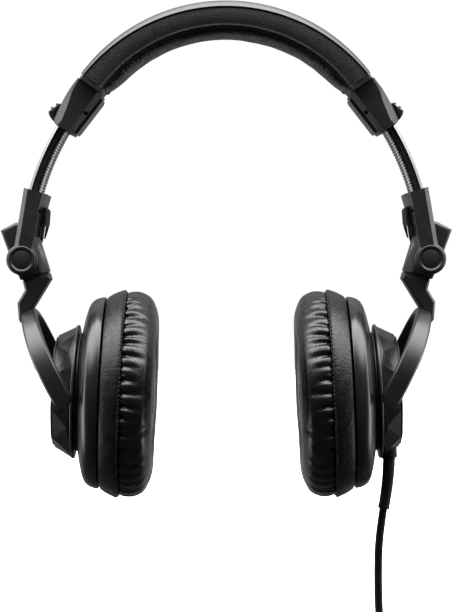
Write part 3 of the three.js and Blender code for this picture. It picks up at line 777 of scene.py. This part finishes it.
def wrap_section(end):
    top = cover_floor(end) - 0.03
    low = BAND_IN
    y = BAND_HALF - 0.2
    half = [[low + 0.1, y - 3.2], [low - 0.2, y - 1.6], [low - 0.25, y - 0.7], [low + 0.05, y - 0.1]]
    half += [[low + 0.5, y], [low + 0.85, y - 0.04], [low + 1.15, y - 0.2]]
    for k in range(9):
        t = k / 8
        half.append([lerp(low + 1.5, top - 0.25, t), y - 0.12 + 0.42 * math.sin(math.pi * t) ** 0.8])
    half += [[top, y - 0.25], [top, 12.6], [top - 0.9, 12.6]]
    return both(half)


def band_end_strips():
    """The smooth dark band over either end of the wrap, next to the slider housings."""

    def section(t):
        y = BAND_HALF - 0.25
        half = [[BAND_IN + 0.2, y - 1.2], [BAND_IN, y - 0.5], [BAND_IN + 0.5, y]]
        half += [[BAND_R - 1.5, y], [BAND_R - 0.9, y - 0.6], [BAND_R - 0.6, y - 2]]
        return both(half)

    parts = [swept(BAND_CENTRE, start, start - 1.85, 6, section) for start in (144.9, 36.95)]
    return parts[0].plus(parts[1])


def band_end_cores():
    """The dark core that runs on from the wrap's ends into the housings."""
    core = [[71.4 + u, y] for u, y in box2(5.4, 12.0)]
    parts = [swept(BAND_CENTRE, a, a + 2.6, 3, lambda t: core) for a in (35.0, 142.4)]
    return parts[0].plus(parts[1])


def pad_section(end):
    """The pad's crowned section, from its top edge at -Y round the underside to +Y."""
    close = max(0.0, (end - 0.84) / 0.16)
    full = math.sqrt(max(0.03, 1 - close * close))
    top = BAND_IN - 0.15
    depth = (top - 63.0) * full
    half = 14.9 - 3.0 * close
    out = []
    for k in range(PAD_CURVE):
        a = math.pi * k / (PAD_CURVE - 1)
        y = -half * math.copysign(abs(math.cos(a)) ** 0.62, math.cos(a))
        out.append([top - depth * math.sin(a) ** 0.72, y])
    out += [[top, half * (1 - 2 * q)] for q in (0.04, 0.25, 0.5, 0.75, 0.96)]
    return out


def simulated(solid, held, name, cap, frames=18, pressure=4.0, bend=0.4):
    """The solid after a short cloth simulation under pressure; no point moves by over cap millimetres."""
    o = linked(name, mesh_of(name, solid))
    group = o.vertex_groups.new(name="held")
    group.add([int(i) for i in np.nonzero(held)[0]], 1.0, "REPLACE")
    m = o.modifiers.new("cloth", "CLOTH")
    c = m.settings
    c.quality, c.mass = 6, 0.25
    c.tension_stiffness = c.compression_stiffness = 18
    c.shear_stiffness, c.bending_stiffness = 8, bend
    c.use_pressure, c.uniform_pressure_force = True, pressure
    c.vertex_group_mass = "held"
    c.effector_weights.gravity = 0
    m.collision_settings.use_collision = False
    m.point_cache.frame_start, m.point_cache.frame_end = 1, frames
    for f in range(1, frames + 1):
        bpy.context.scene.frame_set(f)
    moved = o.evaluated_get(bpy.context.evaluated_depsgraph_get()).data
    flat = np.zeros(len(moved.vertices) * 3, np.float32)
    moved.vertices.foreach_get("co", flat)
    bpy.context.scene.frame_set(1)
    bpy.data.objects.remove(o)
    move = flat.reshape(-1, 3).astype(float) / MM - solid.points
    far = np.linalg.norm(move, axis=1)
    share = cap * np.tanh(far / cap) / np.maximum(far, 1e-9)
    return Solid(solid.points + move * share[:, None], solid.faces)


def wavy(seed, size, points, octaves=3):
    """Smooth noise at points, about -1 to 1, from sums of seeded sines."""
    rng = np.random.default_rng(seed)
    total = np.zeros(len(points))
    for k in range(octaves):
        for _ in range(5):
            d = rng.normal(size=3)
            d /= np.linalg.norm(d)
            total += np.sin(points @ d * (2 * math.pi / size * 2**k) + rng.uniform(0, 6.28)) / 2**k / 3.2
    return total


def build_band():
    cover = band(180, cover_section)
    piece("band_cover", cover, "headband", COVER, ["headband_cover"], "gloss_black", sharp=70)
    cuts = [channel().side(1), channel().side(-1)]
    wrap = band(160, wrap_section)
    piece("band_wrap", wrap, "headband", WRAP, ["headband_wrap"], "black_fabric", sharp=60, cuts=cuts)
    strips = band_end_strips()
    piece("band_end_strips", strips, "headband", INNER, slot="black_leatherette", bevel=0.2, cuts=cuts)
    piece("band_end_cores", band_end_cores(), "headband", INNER, slot="matte_black", bevel=0.1, cuts=cuts)
    build_band_pad()
    for side, y in (("front", -15.6), ("rear", 15.6)):
        name = "piping_" + side
        r = BAND_IN - PIPING_R
        ring = [[r + PIPING_R * cosd(a), y + PIPING_R * sind(a)] for a in range(0, 360, 30)]

        def lifted(end):
            return [[q + 0.3 * max(0, end - 0.75) / 0.25, w] for q, w in ring]

        piping, node = band(160, lifted, PIPING_ANGLE), "headband_" + name
        piece("band_" + name, piping, "headband", RUBBER, [node], "black_leatherette", sharp=80)
    dress("headband_spring", SPRING, 0.08)


def build_band_pad():
    """The pad under the headband, pushed a little uneven where it isn't held and then inflated."""
    stations = 150
    pad = band(stations, pad_section, PAD_ANGLE)
    per_ring = len(pad.points) // (stations + 1)
    along, place = np.divmod(np.arange(len(pad.points)), per_ring)
    held = (place < 3) | (place > PAD_CURVE - 4) | (along < 3) | (along > stations - 3)
    push = wavy(5, 26, pad.points) * 0.16 + wavy(8, 9, pad.points, 2) * 0.05
    outward = pad.points - np.array([0, 0, BAND_CENTRE[1]])
    outward[:, 1] = 0
    free = np.where(held, 0.0, 1.0)[:, None]
    pad = Solid(pad.points + unit(outward) * (push[:, None] * free), pad.faces)
    pad = simulated(pad, held, "pad_sim", cap=0.7)
    o = piece("band_pad", pad, "headband", BANDPAD, ["headband_pad"], "black_leatherette", sharp=80)
    subdivide(o)


def paint(o, material, chosen):
    """Gives the faces whose centre, in millimetres, is chosen a second material."""
    o.data.materials.append(material)
    for face in o.data.polygons:
        if chosen(face.center / MM):
            face.material_index = 1


def subdivide(o):
    m = o.modifiers.new("smooth", "SUBSURF")
    m.levels = m.render_levels = 1


build_band()

# ---- slider

HINGE = (87.9, 0, -96.9)
ARM_FROM, ARM_TO = 12, 34
TEETH_FROM, TEETH_TO, TOOTH_PITCH = 13, 32.5, 0.66


def across(ix, iz, ox, oz, half_at):
    """A ring over the line from (ix, iz) to (ox, oz); half_at(width) is its section's +Y half."""
    width = math.hypot(ox - ix, oz - iz)
    return [(lerp(ix, ox, w / width), y, lerp(iz, oz, w / width)) for w, y in both(half_at(width))]


def in_tooth(angle):
    return not TEETH_FROM < angle < TEETH_TO or (angle / TOOTH_PITCH) % 1 < 0.5


def arm_body():
    """The grooved bar, with a row of fine teeth along its inner face."""
    half, depth = ARM_T / 2, ARM_DEPTH / 2

    def section(angle):
        gap = 0.0 if in_tooth(angle) else 0.2
        front = [(-half + gap, depth - 1.5), (-half + 0.15 + gap, depth - 1.1), (-half + 1.2, depth - 0.05)]
        front += [(-half + 1.4, depth), (-half + 1.55, depth - 0.5), (-0.4, depth - 0.5)]
        front += [(-0.3, depth - 0.2), (0.3, depth - 0.2), (0.4, depth - 0.5), (half - 1.35, depth - 0.5)]
        front += [(half - 1.25, depth), (half - 1.05, depth), (half - 0.15, depth - 0.85)]
        return [[ARM_R + u, y] for u, y in both([*front, (half, depth - 1.3)])]

    return swept(ARM_CENTRE, ARM_FROM, ARM_TO, 264, lambda t: section(lerp(ARM_FROM, ARM_TO, t)))


def on_arm_highlight(at):
    """Whether a face of the arm gets the painted highlight: the teeth, lit against painted shade in the
    grooves between them, and a strip along both edges, front and rear.
    """
    x, z = abs(at[0]) - ARM_CENTRE[0], at[2] - ARM_CENTRE[1]
    across = math.hypot(x, z) - ARM_R
    if across < -2.5:
        return in_tooth(math.degrees(math.atan2(z, x)))
    return abs(across) > 1.75 and abs(at[1]) > ARM_DEPTH / 2 - 1.6


# the housing's inner and outer corner, in XZ, and the width of its chamfer, at stations down the arm
HOUSING_AT = np.array([0, 1, 2, 3, 3.55, 4.05])
HOUSING = np.array([
    (53.1, -26.2, 63.66, -18.6, 0.9), (56.26, -30.34, 67.41, -23.53, 1.8),
    (59.61, -34.68, 70.67, -28.86, 3.2), (62.97, -39.03, 73.63, -35.38, 3.5),
    (64.55, -41.1, 74.22, -37.25, 2.7), (65.93, -42.88, 72.84, -39.13, 0.5),
])
HOUSING_HALF = 13.0


def housing_body():
    fine = np.linspace(0, HOUSING_AT[-1], 60)
    h = HOUSING_HALF
    rings = []
    for *corners, strip in np.stack([cubic(HOUSING_AT, HOUSING[:, k], fine) for k in range(5)], 1):

        def half(width):
            flat = [(0, h - 3.4), (0.15, h - 3.0), (2.3, h - 0.2), (2.55, h), (width - strip - 0.15, h)]
            slope = [(width - strip + 0.1, h - 0.1), (width - 0.15, h - 0.85 - strip)]
            return [*flat, *slope, (width, h - 1.15 - strip)]

        rings.append(across(*corners, half))
    return loft(rings)


def cubic(x, y, at):
    """Values of a smooth curve through (x, y), with slopes that don't overshoot."""
    d = np.diff(y) / np.diff(x)
    inside = np.where(d[:-1] * d[1:] > 0, 2 * d[:-1] * d[1:] / (d[:-1] + d[1:] + 1e-12), 0)
    m = np.concatenate([[d[0]], inside, [d[-1]]])
    i = np.clip(np.searchsorted(x, at) - 1, 0, len(x) - 2)
    h = x[i + 1] - x[i]
    t = (at - x[i]) / h
    a, b, c, e = 2 * t**3 - 3 * t**2 + 1, t**3 - 2 * t**2 + t, -2 * t**3 + 3 * t**2, t**3 - t**2
    return a * y[i] + b * h * m[i] + c * y[i + 1] + e * h * m[i + 1]


# the sleeve's inner and outer corner, in XZ, at stations down to the hinge
SLEEVE = (
    (76.79, -68.83, 87.05, -65.87), (78.17, -73.57, 87.95, -71.25), (79.2, -80, 89.02, -77.7),
    (80.44, -87.88, 90.33, -85.6), (82.1, -93.55, 91.25, -91.1), (83.3, -98.6, 92.1, -97.2),
)
SLEEVE_HALF, CAP_FACE = 12.8, 13.1


def sleeve_body():
    """The sleeve, with a broad chamfer down each long edge only."""

    def half(width):
        h = SLEEVE_HALF
        return [(0, h - 2.6), (2.1, h), (width - 1.9, h), (width, h - 2.4)]

    return loft([across(*corners, half) for corners in SLEEVE])


def sleeve_boss():
    half = [[10.9, 6.7], [12.2, 6.7], [SLEEVE_HALF, 6.1]]
    profile = [[-SLEEVE_HALF, 0], *[[-y, r] for y, r in half[::-1]], *half, [SLEEVE_HALF, 0]]
    return turned(profile, "y").moved(HINGE)


def hinge_cap(sign):
    """A plain dished disc with a raised rim, in front for sign -1 and behind for +1."""
    profile = [[0, 0], [0, 5.7], [0.15, 5.9], [0.55, 5.92], [0.9, 5.72], [1, 5.45], [1, 4.95], [0.92, 4.8]]
    profile += [[0.4, 4.35], [0.32, 4.25], [0.32, 3.85], [0.4, 3.7], [0.5, 3.55], [0.52, 0]]
    return turned([[sign * (CAP_FACE + a), r] for a, r in profile], "y").moved(HINGE)


def build_slider(side, s):
    make = maker(side, s)
    arm = make("arm", arm_body(), "slider", ARM, "slider_arm", "satin_grey", sharp=28)
    # painted light and shade: the teeth and both edge strips get the lighter metal, and the grooves stay
    # dark
    paint(arm, ARM_HIGHLIGHT, on_arm_highlight)
    hinge_cuts = [rod("y", -8.4, 8.4, 17.4, 96).moved(HINGE), rod("y", -16, 16, 2.5).moved(HINGE)]
    screw = rod("y", -14, -10.6, 0.6, 24).moved((80.1, 0, -76.2))
    cuts = [arm_sweep(11, 20, 16, box2(3.2, 7.8)), *hinge_cuts, screw]
    make("sleeve", sleeve_body(), "slider", MATTE, "hinge_sleeve", "matte_black", cuts, bevel=0.2)
    make("sleeve_boss", sleeve_boss(), "slider", MATTE, "", "matte_black", hinge_cuts, bevel=0.15)
    for place, sign in (("front", -1), ("rear", 1)):
        make("cap_" + place, hinge_cap(sign), "slider", SATIN, "hinge_cap_" + place, "matte_black", sharp=50)
    dress(side + "_sleeve_bumper", CORDSKIN, 0.2)
    dress(side + "_hinge_pin", STEEL, 0.1)
    cuts = [channel(), rod("y", -14, -9.2, 0.95).moved((60.4, 0, -33.9))]
    make("housing", housing_body(), "headband", MATTE, "slider_housing", "matte_black", cuts, bevel=0.16)
    dress(side + "_housing_inner_cover", SATIN, 0.18)
    dress(side + "_thumb_grip", MATTE, 0.25)


for name, s in SIDES:
    build_slider(name, s)

# ---- knuckle and yoke

PIVOT = (69.3, -156.0)
FORK_LEAN, FORK_RISE, FORK_HALF, FORK_T = 24.0, 41.0, 34.4, 3.2
SWIVEL, SWIVEL_LEAN = (82.7, 0, -103.8), 17.2


def fork_line():
    """The fork's line from tip to tip, as (y, rise, angle, half width) over the pivots."""
    r = FORK_HALF - FORK_T / 2
    straight = FORK_RISE - FORK_HALF
    curve = [rad(a) for a in range(84, -1, -7)]
    tip = [(0.45 - 4.2 * math.sin(a), max(0.7, 4.2 * math.cos(a))) for a in curve] + [(3, 4.25)]
    line = [(-r, rise, 180, w) for rise, w in tip]
    line += [(-r, straight * q / 4, 180, 4.25) for q in range(2, 4)]
    for k in range(61):
        a = 180 - 3 * k
        c = cosd(a)
        line.append((r * c, straight + r * sind(a), a, 3 + 1.25 * abs(c)))
    line += [(r, straight * q / 4, 0, 4.25) for q in (3, 2)]
    return line + [(r, rise, 0, w) for rise, w in tip[::-1]]


def fork_body():
    c, s = cosd(FORK_LEAN), sind(FORK_LEAN)
    up, across = np.array([s, 0, c]), np.array([c, 0, -s])
    rings = []
    for y, rise, turn, w in fork_line():
        radial = np.array([0, cosd(turn), 0]) + up * sind(turn)
        bow = math.sin(math.pi * min(1, max(0, rise / FORK_RISE)))
        centre = np.array([PIVOT[0], y, PIVOT[1]]) + up * rise + across * bow
        h = FORK_T / 2
        half = [(w, -h + 0.35), (w - 0.35, -h)]
        top = h + 0.45 * max(0.0, (rise - 30) / 11)
        q = min(1.0, w / 1.6)
        outer = [(w, top - 1.15 * q), (w - 0.06 * q, top - 1.03 * q), (w - 0.8 * q, top - 0.1 * q)]
        outer += [(w - 0.92 * q, top - 0.02 * q), (w - 1.2 * q, top)]
        section = [(-a, b) for a, b in outer[::-1]] + [(-a, b) for a, b in half] + half[::-1] + outer
        rings.append([centre + across * a + radial * b for a, b in section])
    return loft(rings)


KNUCKLE = (
    (97.61, -84.16), (90.87, -80.59), (84.52, -82.08), (80.95, -88.03), (76.68, -101.62),
    (89.08, -105.49), (90.77, -101.92), (94.14, -93.59),
)
KNUCKLE_HALF, KNUCKLE_ROLL, ROLL_STEPS = 8, 1.8, 6
KNUCKLE_FALL, FALL_DEPTH, HEADWARD = 4.4, 3.3, np.array([0.954, -0.3])
NECK = (
    (76.66, -102.6), (88.08, -106.13), (87.09, -109.95), (90.36, -115.41), (89.77, -122.96),
    (88.67, -124.35), (87.98, -121.47), (84.01, -118.19), (75.96, -105.08),
)


def knuckle_body():
    """The folding knuckle: its faces roll over at the edges and fall away towards the head."""
    turns = [rad(90 * k / ROLL_STEPS) for k in range(ROLL_STEPS + 1)]
    rolls = [(KNUCKLE_ROLL * (1 - math.sin(a)), KNUCKLE_ROLL * (1 - math.cos(a))) for a in turns]
    rolls.append((0, FALL_DEPTH))
    rings = []
    for y, d in [(y - KNUCKLE_HALF, d) for d, y in rolls] + [(KNUCKLE_HALF - y, d) for d, y in rolls[::-1]]:
        outline = inset(KNUCKLE, d)
        outline[3:5] += HEADWARD * KNUCKLE_FALL * (1 - (KNUCKLE_HALF - abs(y)) / FALL_DEPTH)
        rings.append([[x, y, z] for x, z in outline])
    return loft(rings)


def build_yoke(side, s):
    make = maker(side, s)
    bore = rod("y", -16, 16, 2.8).moved(HINGE)
    make("knuckle_block", knuckle_body(), "knuckle", SATIN, "fold_knuckle", "satin_grey", [bore], sharp=50)
    post = rod("z", -4.4, 2, 2.6).about_y(SWIVEL_LEAN).moved(SWIVEL)
    make("swivel_post", post, "knuckle", SATIN, "", "satin_grey")
    collar = slab([(-5.8, -0.6), (5.5, -0.6), (5.5, 0.22), (-5.8, 0.22)], -6.5, 6.5)
    collar = collar.about_y(SWIVEL_LEAN).moved(SWIVEL)
    make("swivel_collar", collar, "yoke", INNER, "", "matte_black", bevel=0.1)
    make("neck_block", slab(NECK, -7, 7, 0.9), "yoke", MATTE, "yoke_neck", "matte_black", bevel=0.2)
    make("fork", fork_body(), "yoke", GLOSS, "yoke_fork", "gloss_black", sharp=45)
    for place in ("front", "rear"):
        dress(f"{side}_pivot_pin_{place}", STEEL, 0.1)


for name, s in SIDES:
    build_yoke(name, s)

# ---- cup

CUP_Z, CUP_LEAN = -154.0, 2.5
FACETS, FACET_TURN = 10, 36
PAD_SEAM_R, PUCKERS = 44, 54
STITCHES, STITCH_TURN = 150, 2.4


def leaned(solid):
    """A cup's solid, drawn about the X axis, put in its place."""
    at = np.array([PIVOT[0], 0, 0])
    return solid.about_y(-CUP_LEAN, at).moved((0, 0, CUP_Z))


def on_wheel(x, r, degrees):
    return (x, r * sind(degrees), r * cosd(degrees))


def gem():
    """The hub's facets: five points a facet, a flat outer face and a closed back."""
    points = []
    for k in range(FACETS):
        a = k * FACET_TURN
        points += [on_wheel(73.9, 24.3, a), on_wheel(66.1, 28.7, a + 7), on_wheel(67.6, 27.7, a + 22)]
        points += [on_wheel(65.3, 28.3, a + 7), on_wheel(65.3, 28.3, a + 22)]
    points += [(73.9, 0, 0), (65.3, 0, 0)]
    n = FACETS * 5
    faces = []
    for k in range(FACETS):
        p, q, r, q0, r0 = (k * 5 + j for j in range(5))
        p2, q2, q02 = (((k + 1) % FACETS) * 5 + j for j in (0, 1, 3))
        faces += [(p, r, q), (p, p2, r), (p2, q2, r), (q, r, r0, q0), (r, q2, q02, r0)]
        faces += [(n, p2, p), (n + 1, q0, r0), (n + 1, r0, q02)]
    return Solid(points, faces)


def hub_rim():
    profile = [[64.9, 18], [64.9, 28.8], [65.05, 29.05], [65.3, 29.1], [65.75, 29.1], [66.0, 28.95]]
    return turned([*profile, [66.15, 28.6], [66.15, 18]], "x", 180)


def back_shell():
    outer = [(53.9, 41.35), (54.05, 41.55), (54.3, 41.62), (55.3, 41.58), (56.5, 41.3), (57.7, 40.85)]
    outer += [(58.8, 40.2), (59.7, 39.4), (60.4, 38.3), (60.95, 37.0), (61.8, 34), (62.5, 30.8)]
    outer += [(63.1, 27.6), (63.3, 26.6), (63.3, 15)]
    return turned([*outer, (61.4, 15), (59.2, 37), (53.9, 39.8)], "x", 240)


def neck_ring():
    profile = [(63.6, 17), (63.6, 25.4), (63.75, 25.65), (64.0, 25.7), (64.25, 25.7), (64.5, 25.6)]
    return turned([*profile, (64.6, 25.4), (64.6, 17)], "x", 180)


def outer_plate():
    ring = [on_wheel(0, 1, k * FACET_TURN) for k in range(FACETS)]
    levels = [(74.2, 23.6), (74.5, 23.6), (74.9, 22.9), (74.9, 19.6), (74.75, 19.3), (74.75, 0.4)]
    return loft([[(x, r * p[1], r * p[2]) for p in ring] for x, r in levels])


def skirt_body():
    """The leather skirt between the pad's seam and the shell: a taut ring with a rolled lip at the seam."""
    profile = [(45.2, 40), (45.1, 43.6), (45.15, 44.4), (45.4, 44.95), (45.9, 45.12), (46.4, 45.0)]
    profile += [(47.2, 44.75), (48.6, 44.2), (50.0, 43.6), (51.4, 42.85), (52.4, 42.2), (52.95, 41.7)]
    profile += [(53.2, 41.2), (53.2, 40)]
    solid = turned(profile, "x", 360)
    p = solid.points
    a = np.arctan2(p[:, 1], p[:, 2])
    row = np.arange(len(p)) % len(profile)
    lip = np.isin(row, (2, 3, 4, 5))
    ripple = wavy(21, 11, p, 2) * 0.07 + np.where(lip, 0.06 * np.sin(a * 118), 0)
    grow = 1 + np.where((row > 1) & (row < 12), ripple, 0) / np.hypot(p[:, 1], p[:, 2])
    p[:, 1] *= grow
    p[:, 2] *= grow
    return solid


# the pad's section as (x, radius), from the seam round its face to the inner edge
PAD_PROFILE = [
    (44.95, 42.6), (44.7, 43.5), (43.6, 44.0), (41.6, 44.15), (39.2, 43.9), (36.8, 43.1), (34.7, 41.9),
    (33.0, 39.8), (31.8, 37.2), (31.15, 34.6), (31.05, 32.0), (31.5, 29.4), (32.7, 27.3), (34.8, 26.0),
    (37.6, 25.6), (41, 25.8), (44.9, 26.2),
]


def puckers(theta, run, seed):
    """Depth of the gathers at angle theta and distance run from the seam, in millimetres."""
    rng = np.random.default_rng(seed)
    depth = np.zeros_like(theta)
    for k in range(PUCKERS):
        centre = (k + rng.uniform(-0.3, 0.3)) * 2 * math.pi / PUCKERS
        d, length = rng.uniform(1.1, 2.1), rng.uniform(9, 17.5)
        width, drift = rng.uniform(0.6, 1.0), rng.uniform(-0.14, 0.14)
        gap = (theta - centre + math.pi) % (2 * math.pi) - math.pi
        away = gap * PAD_SEAM_R - drift * run - 0.5 * math.sin(rng.uniform(0, 6)) * np.sin(run / 5)
        fade = np.clip(1 - run / length, 0, 1) ** 1.15
        depth -= d * fade * np.exp(-((away / (width * (1 + run / 9))) ** 2))
    for _ in range(PUCKERS // 2):
        centre, length = rng.uniform(0, 6.28), rng.uniform(3, 6)
        gap = (theta - centre + math.pi) % (2 * math.pi) - math.pi
        depth -= 0.5 * np.clip(1 - run / length, 0, 1) * np.exp(-((gap * PAD_SEAM_R / 0.6) ** 2))
    return depth + 0.65 * np.sin(math.pi * np.clip(run / 15, 0, 1))


def ear_pad(seed):
    """The ear pad: its section turned about the X axis, gathered along the seam and then inflated."""
    columns, rows = 480, 60
    line = smooth_line([(x, 0, r) for x, r in PAD_PROFILE], rows)
    x, r = line[:, 0], line[:, 2]
    run = np.concatenate([[0], np.cumsum(np.hypot(np.diff(x), np.diff(r)))])
    theta = np.arange(columns) * 2 * math.pi / columns
    nx, nr = -np.gradient(r), np.gradient(x)
    length = np.hypot(nx, nr)
    nx, nr = nx / length, nr / length
    if nr[4] < 0:
        nx, nr = -nx, -nr
    tt, rr = np.meshgrid(theta, run, indexing="ij")
    depth = puckers(tt, rr, seed)
    inner = np.clip((rr - run[-1] + 14) / 14, 0, 1)
    depth -= 0.35 * inner * (0.5 + 0.5 * np.sin(tt * 34 + 2 * np.sin(tt * 5))) ** 2
    edge = np.clip(np.minimum(rr / 0.8, (run[-1] - rr) / 2), 0, 1)
    px = x[None] + nx[None] * depth * edge
    pr = r[None] + nr[None] * depth * edge
    points = np.stack([px, pr * np.sin(tt), pr * np.cos(tt)], 2)
    drift = wavy(seed + 3, 30, points.reshape(-1, 3), 2).reshape(columns, rows) * 0.14 * edge
    points[..., 0] += drift * nx[None]
    solid = loft(points, closed_rings=True)
    row = np.arange(len(solid.points)) % rows
    held = (row < 2) | (row > rows - 3)
    return simulated(solid, held, "ear_sim", cap=0.45, frames=14, pressure=3.0, bend=0.6)


def seam_stitches():
    """Short thread stitches that gather the pad into the skirt's lip."""
    one = turned([[-0.62, 0], [-0.55, 0.13], [-0.3, 0.2], [0.3, 0.2], [0.55, 0.13], [0.62, 0]], "y", 8)
    x, y, z = (one.points + (44.92, 0, 44.25)).T
    parts = []
    for k in range(STITCHES):
        c, s = cosd(k * STITCH_TURN), sind(k * STITCH_TURN)
        parts.append(Solid(np.stack([x, y * c + z * s, z * c - y * s], 1), one.faces))
    return parts[0].plus(*parts[1:])


def cloth_disc():
    """The speaker cloth, drawn a little taut over the driver's dome, with a hemmed edge."""
    profile = [[45.7, 0], [45.7, 39.4], [45.45, 39.5], [45.2, 39.2], [45.0, 38], [44.9, 30], [44.7, 22]]
    return turned([*profile, [44.55, 12], [44.5, 0]], "x", 120)


def build_cup(side, s, pad):
    make = maker(side, s)
    leather_slot = "black_leatherette"
    make("hub_facets", leaned(gem()), "cup", GEM, "cup_hub", "satin_grey", sharp=4)
    make("hub_rim", leaned(hub_rim()), "cup", SATIN, "", "satin_grey", sharp=50)
    make("plate", leaned(outer_plate()), "cup", GLOSS, "outer_plate", "gloss_black", bevel=0.12)
    make("neck", leaned(neck_ring()), "cup", MATTE, "neck_ring", "matte_black", sharp=60)
    make("shell", leaned(back_shell()), "cup", SHELL, "back_shell", "satin_grey", sharp=60)
    make("skirt", leaned(skirt_body()), "cup", SKIRT, "pad_skirt", leather_slot, sharp=75)
    make("seam_stitches", leaned(seam_stitches()), "cup", THREAD, "", leather_slot, sharp=80)
    o = make("cushion", leaned(pad), "cup", PAD, "ear_pad", leather_slot, sharp=180)
    subdivide(o)
    make("cloth", leaned(cloth_disc()), "cup", CLOTH, "speaker_cloth", "speaker_cloth", sharp=60)
    dress(side + "_baffle", INNER, 0.2)
    dress(side + "_driver", DRIVER, 0.2)


ear_cushion = ear_pad(4)
for name, s in SIDES:
    build_cup(name, s, ear_cushion)
dress("cable_gland", RUBBER, 0.2)
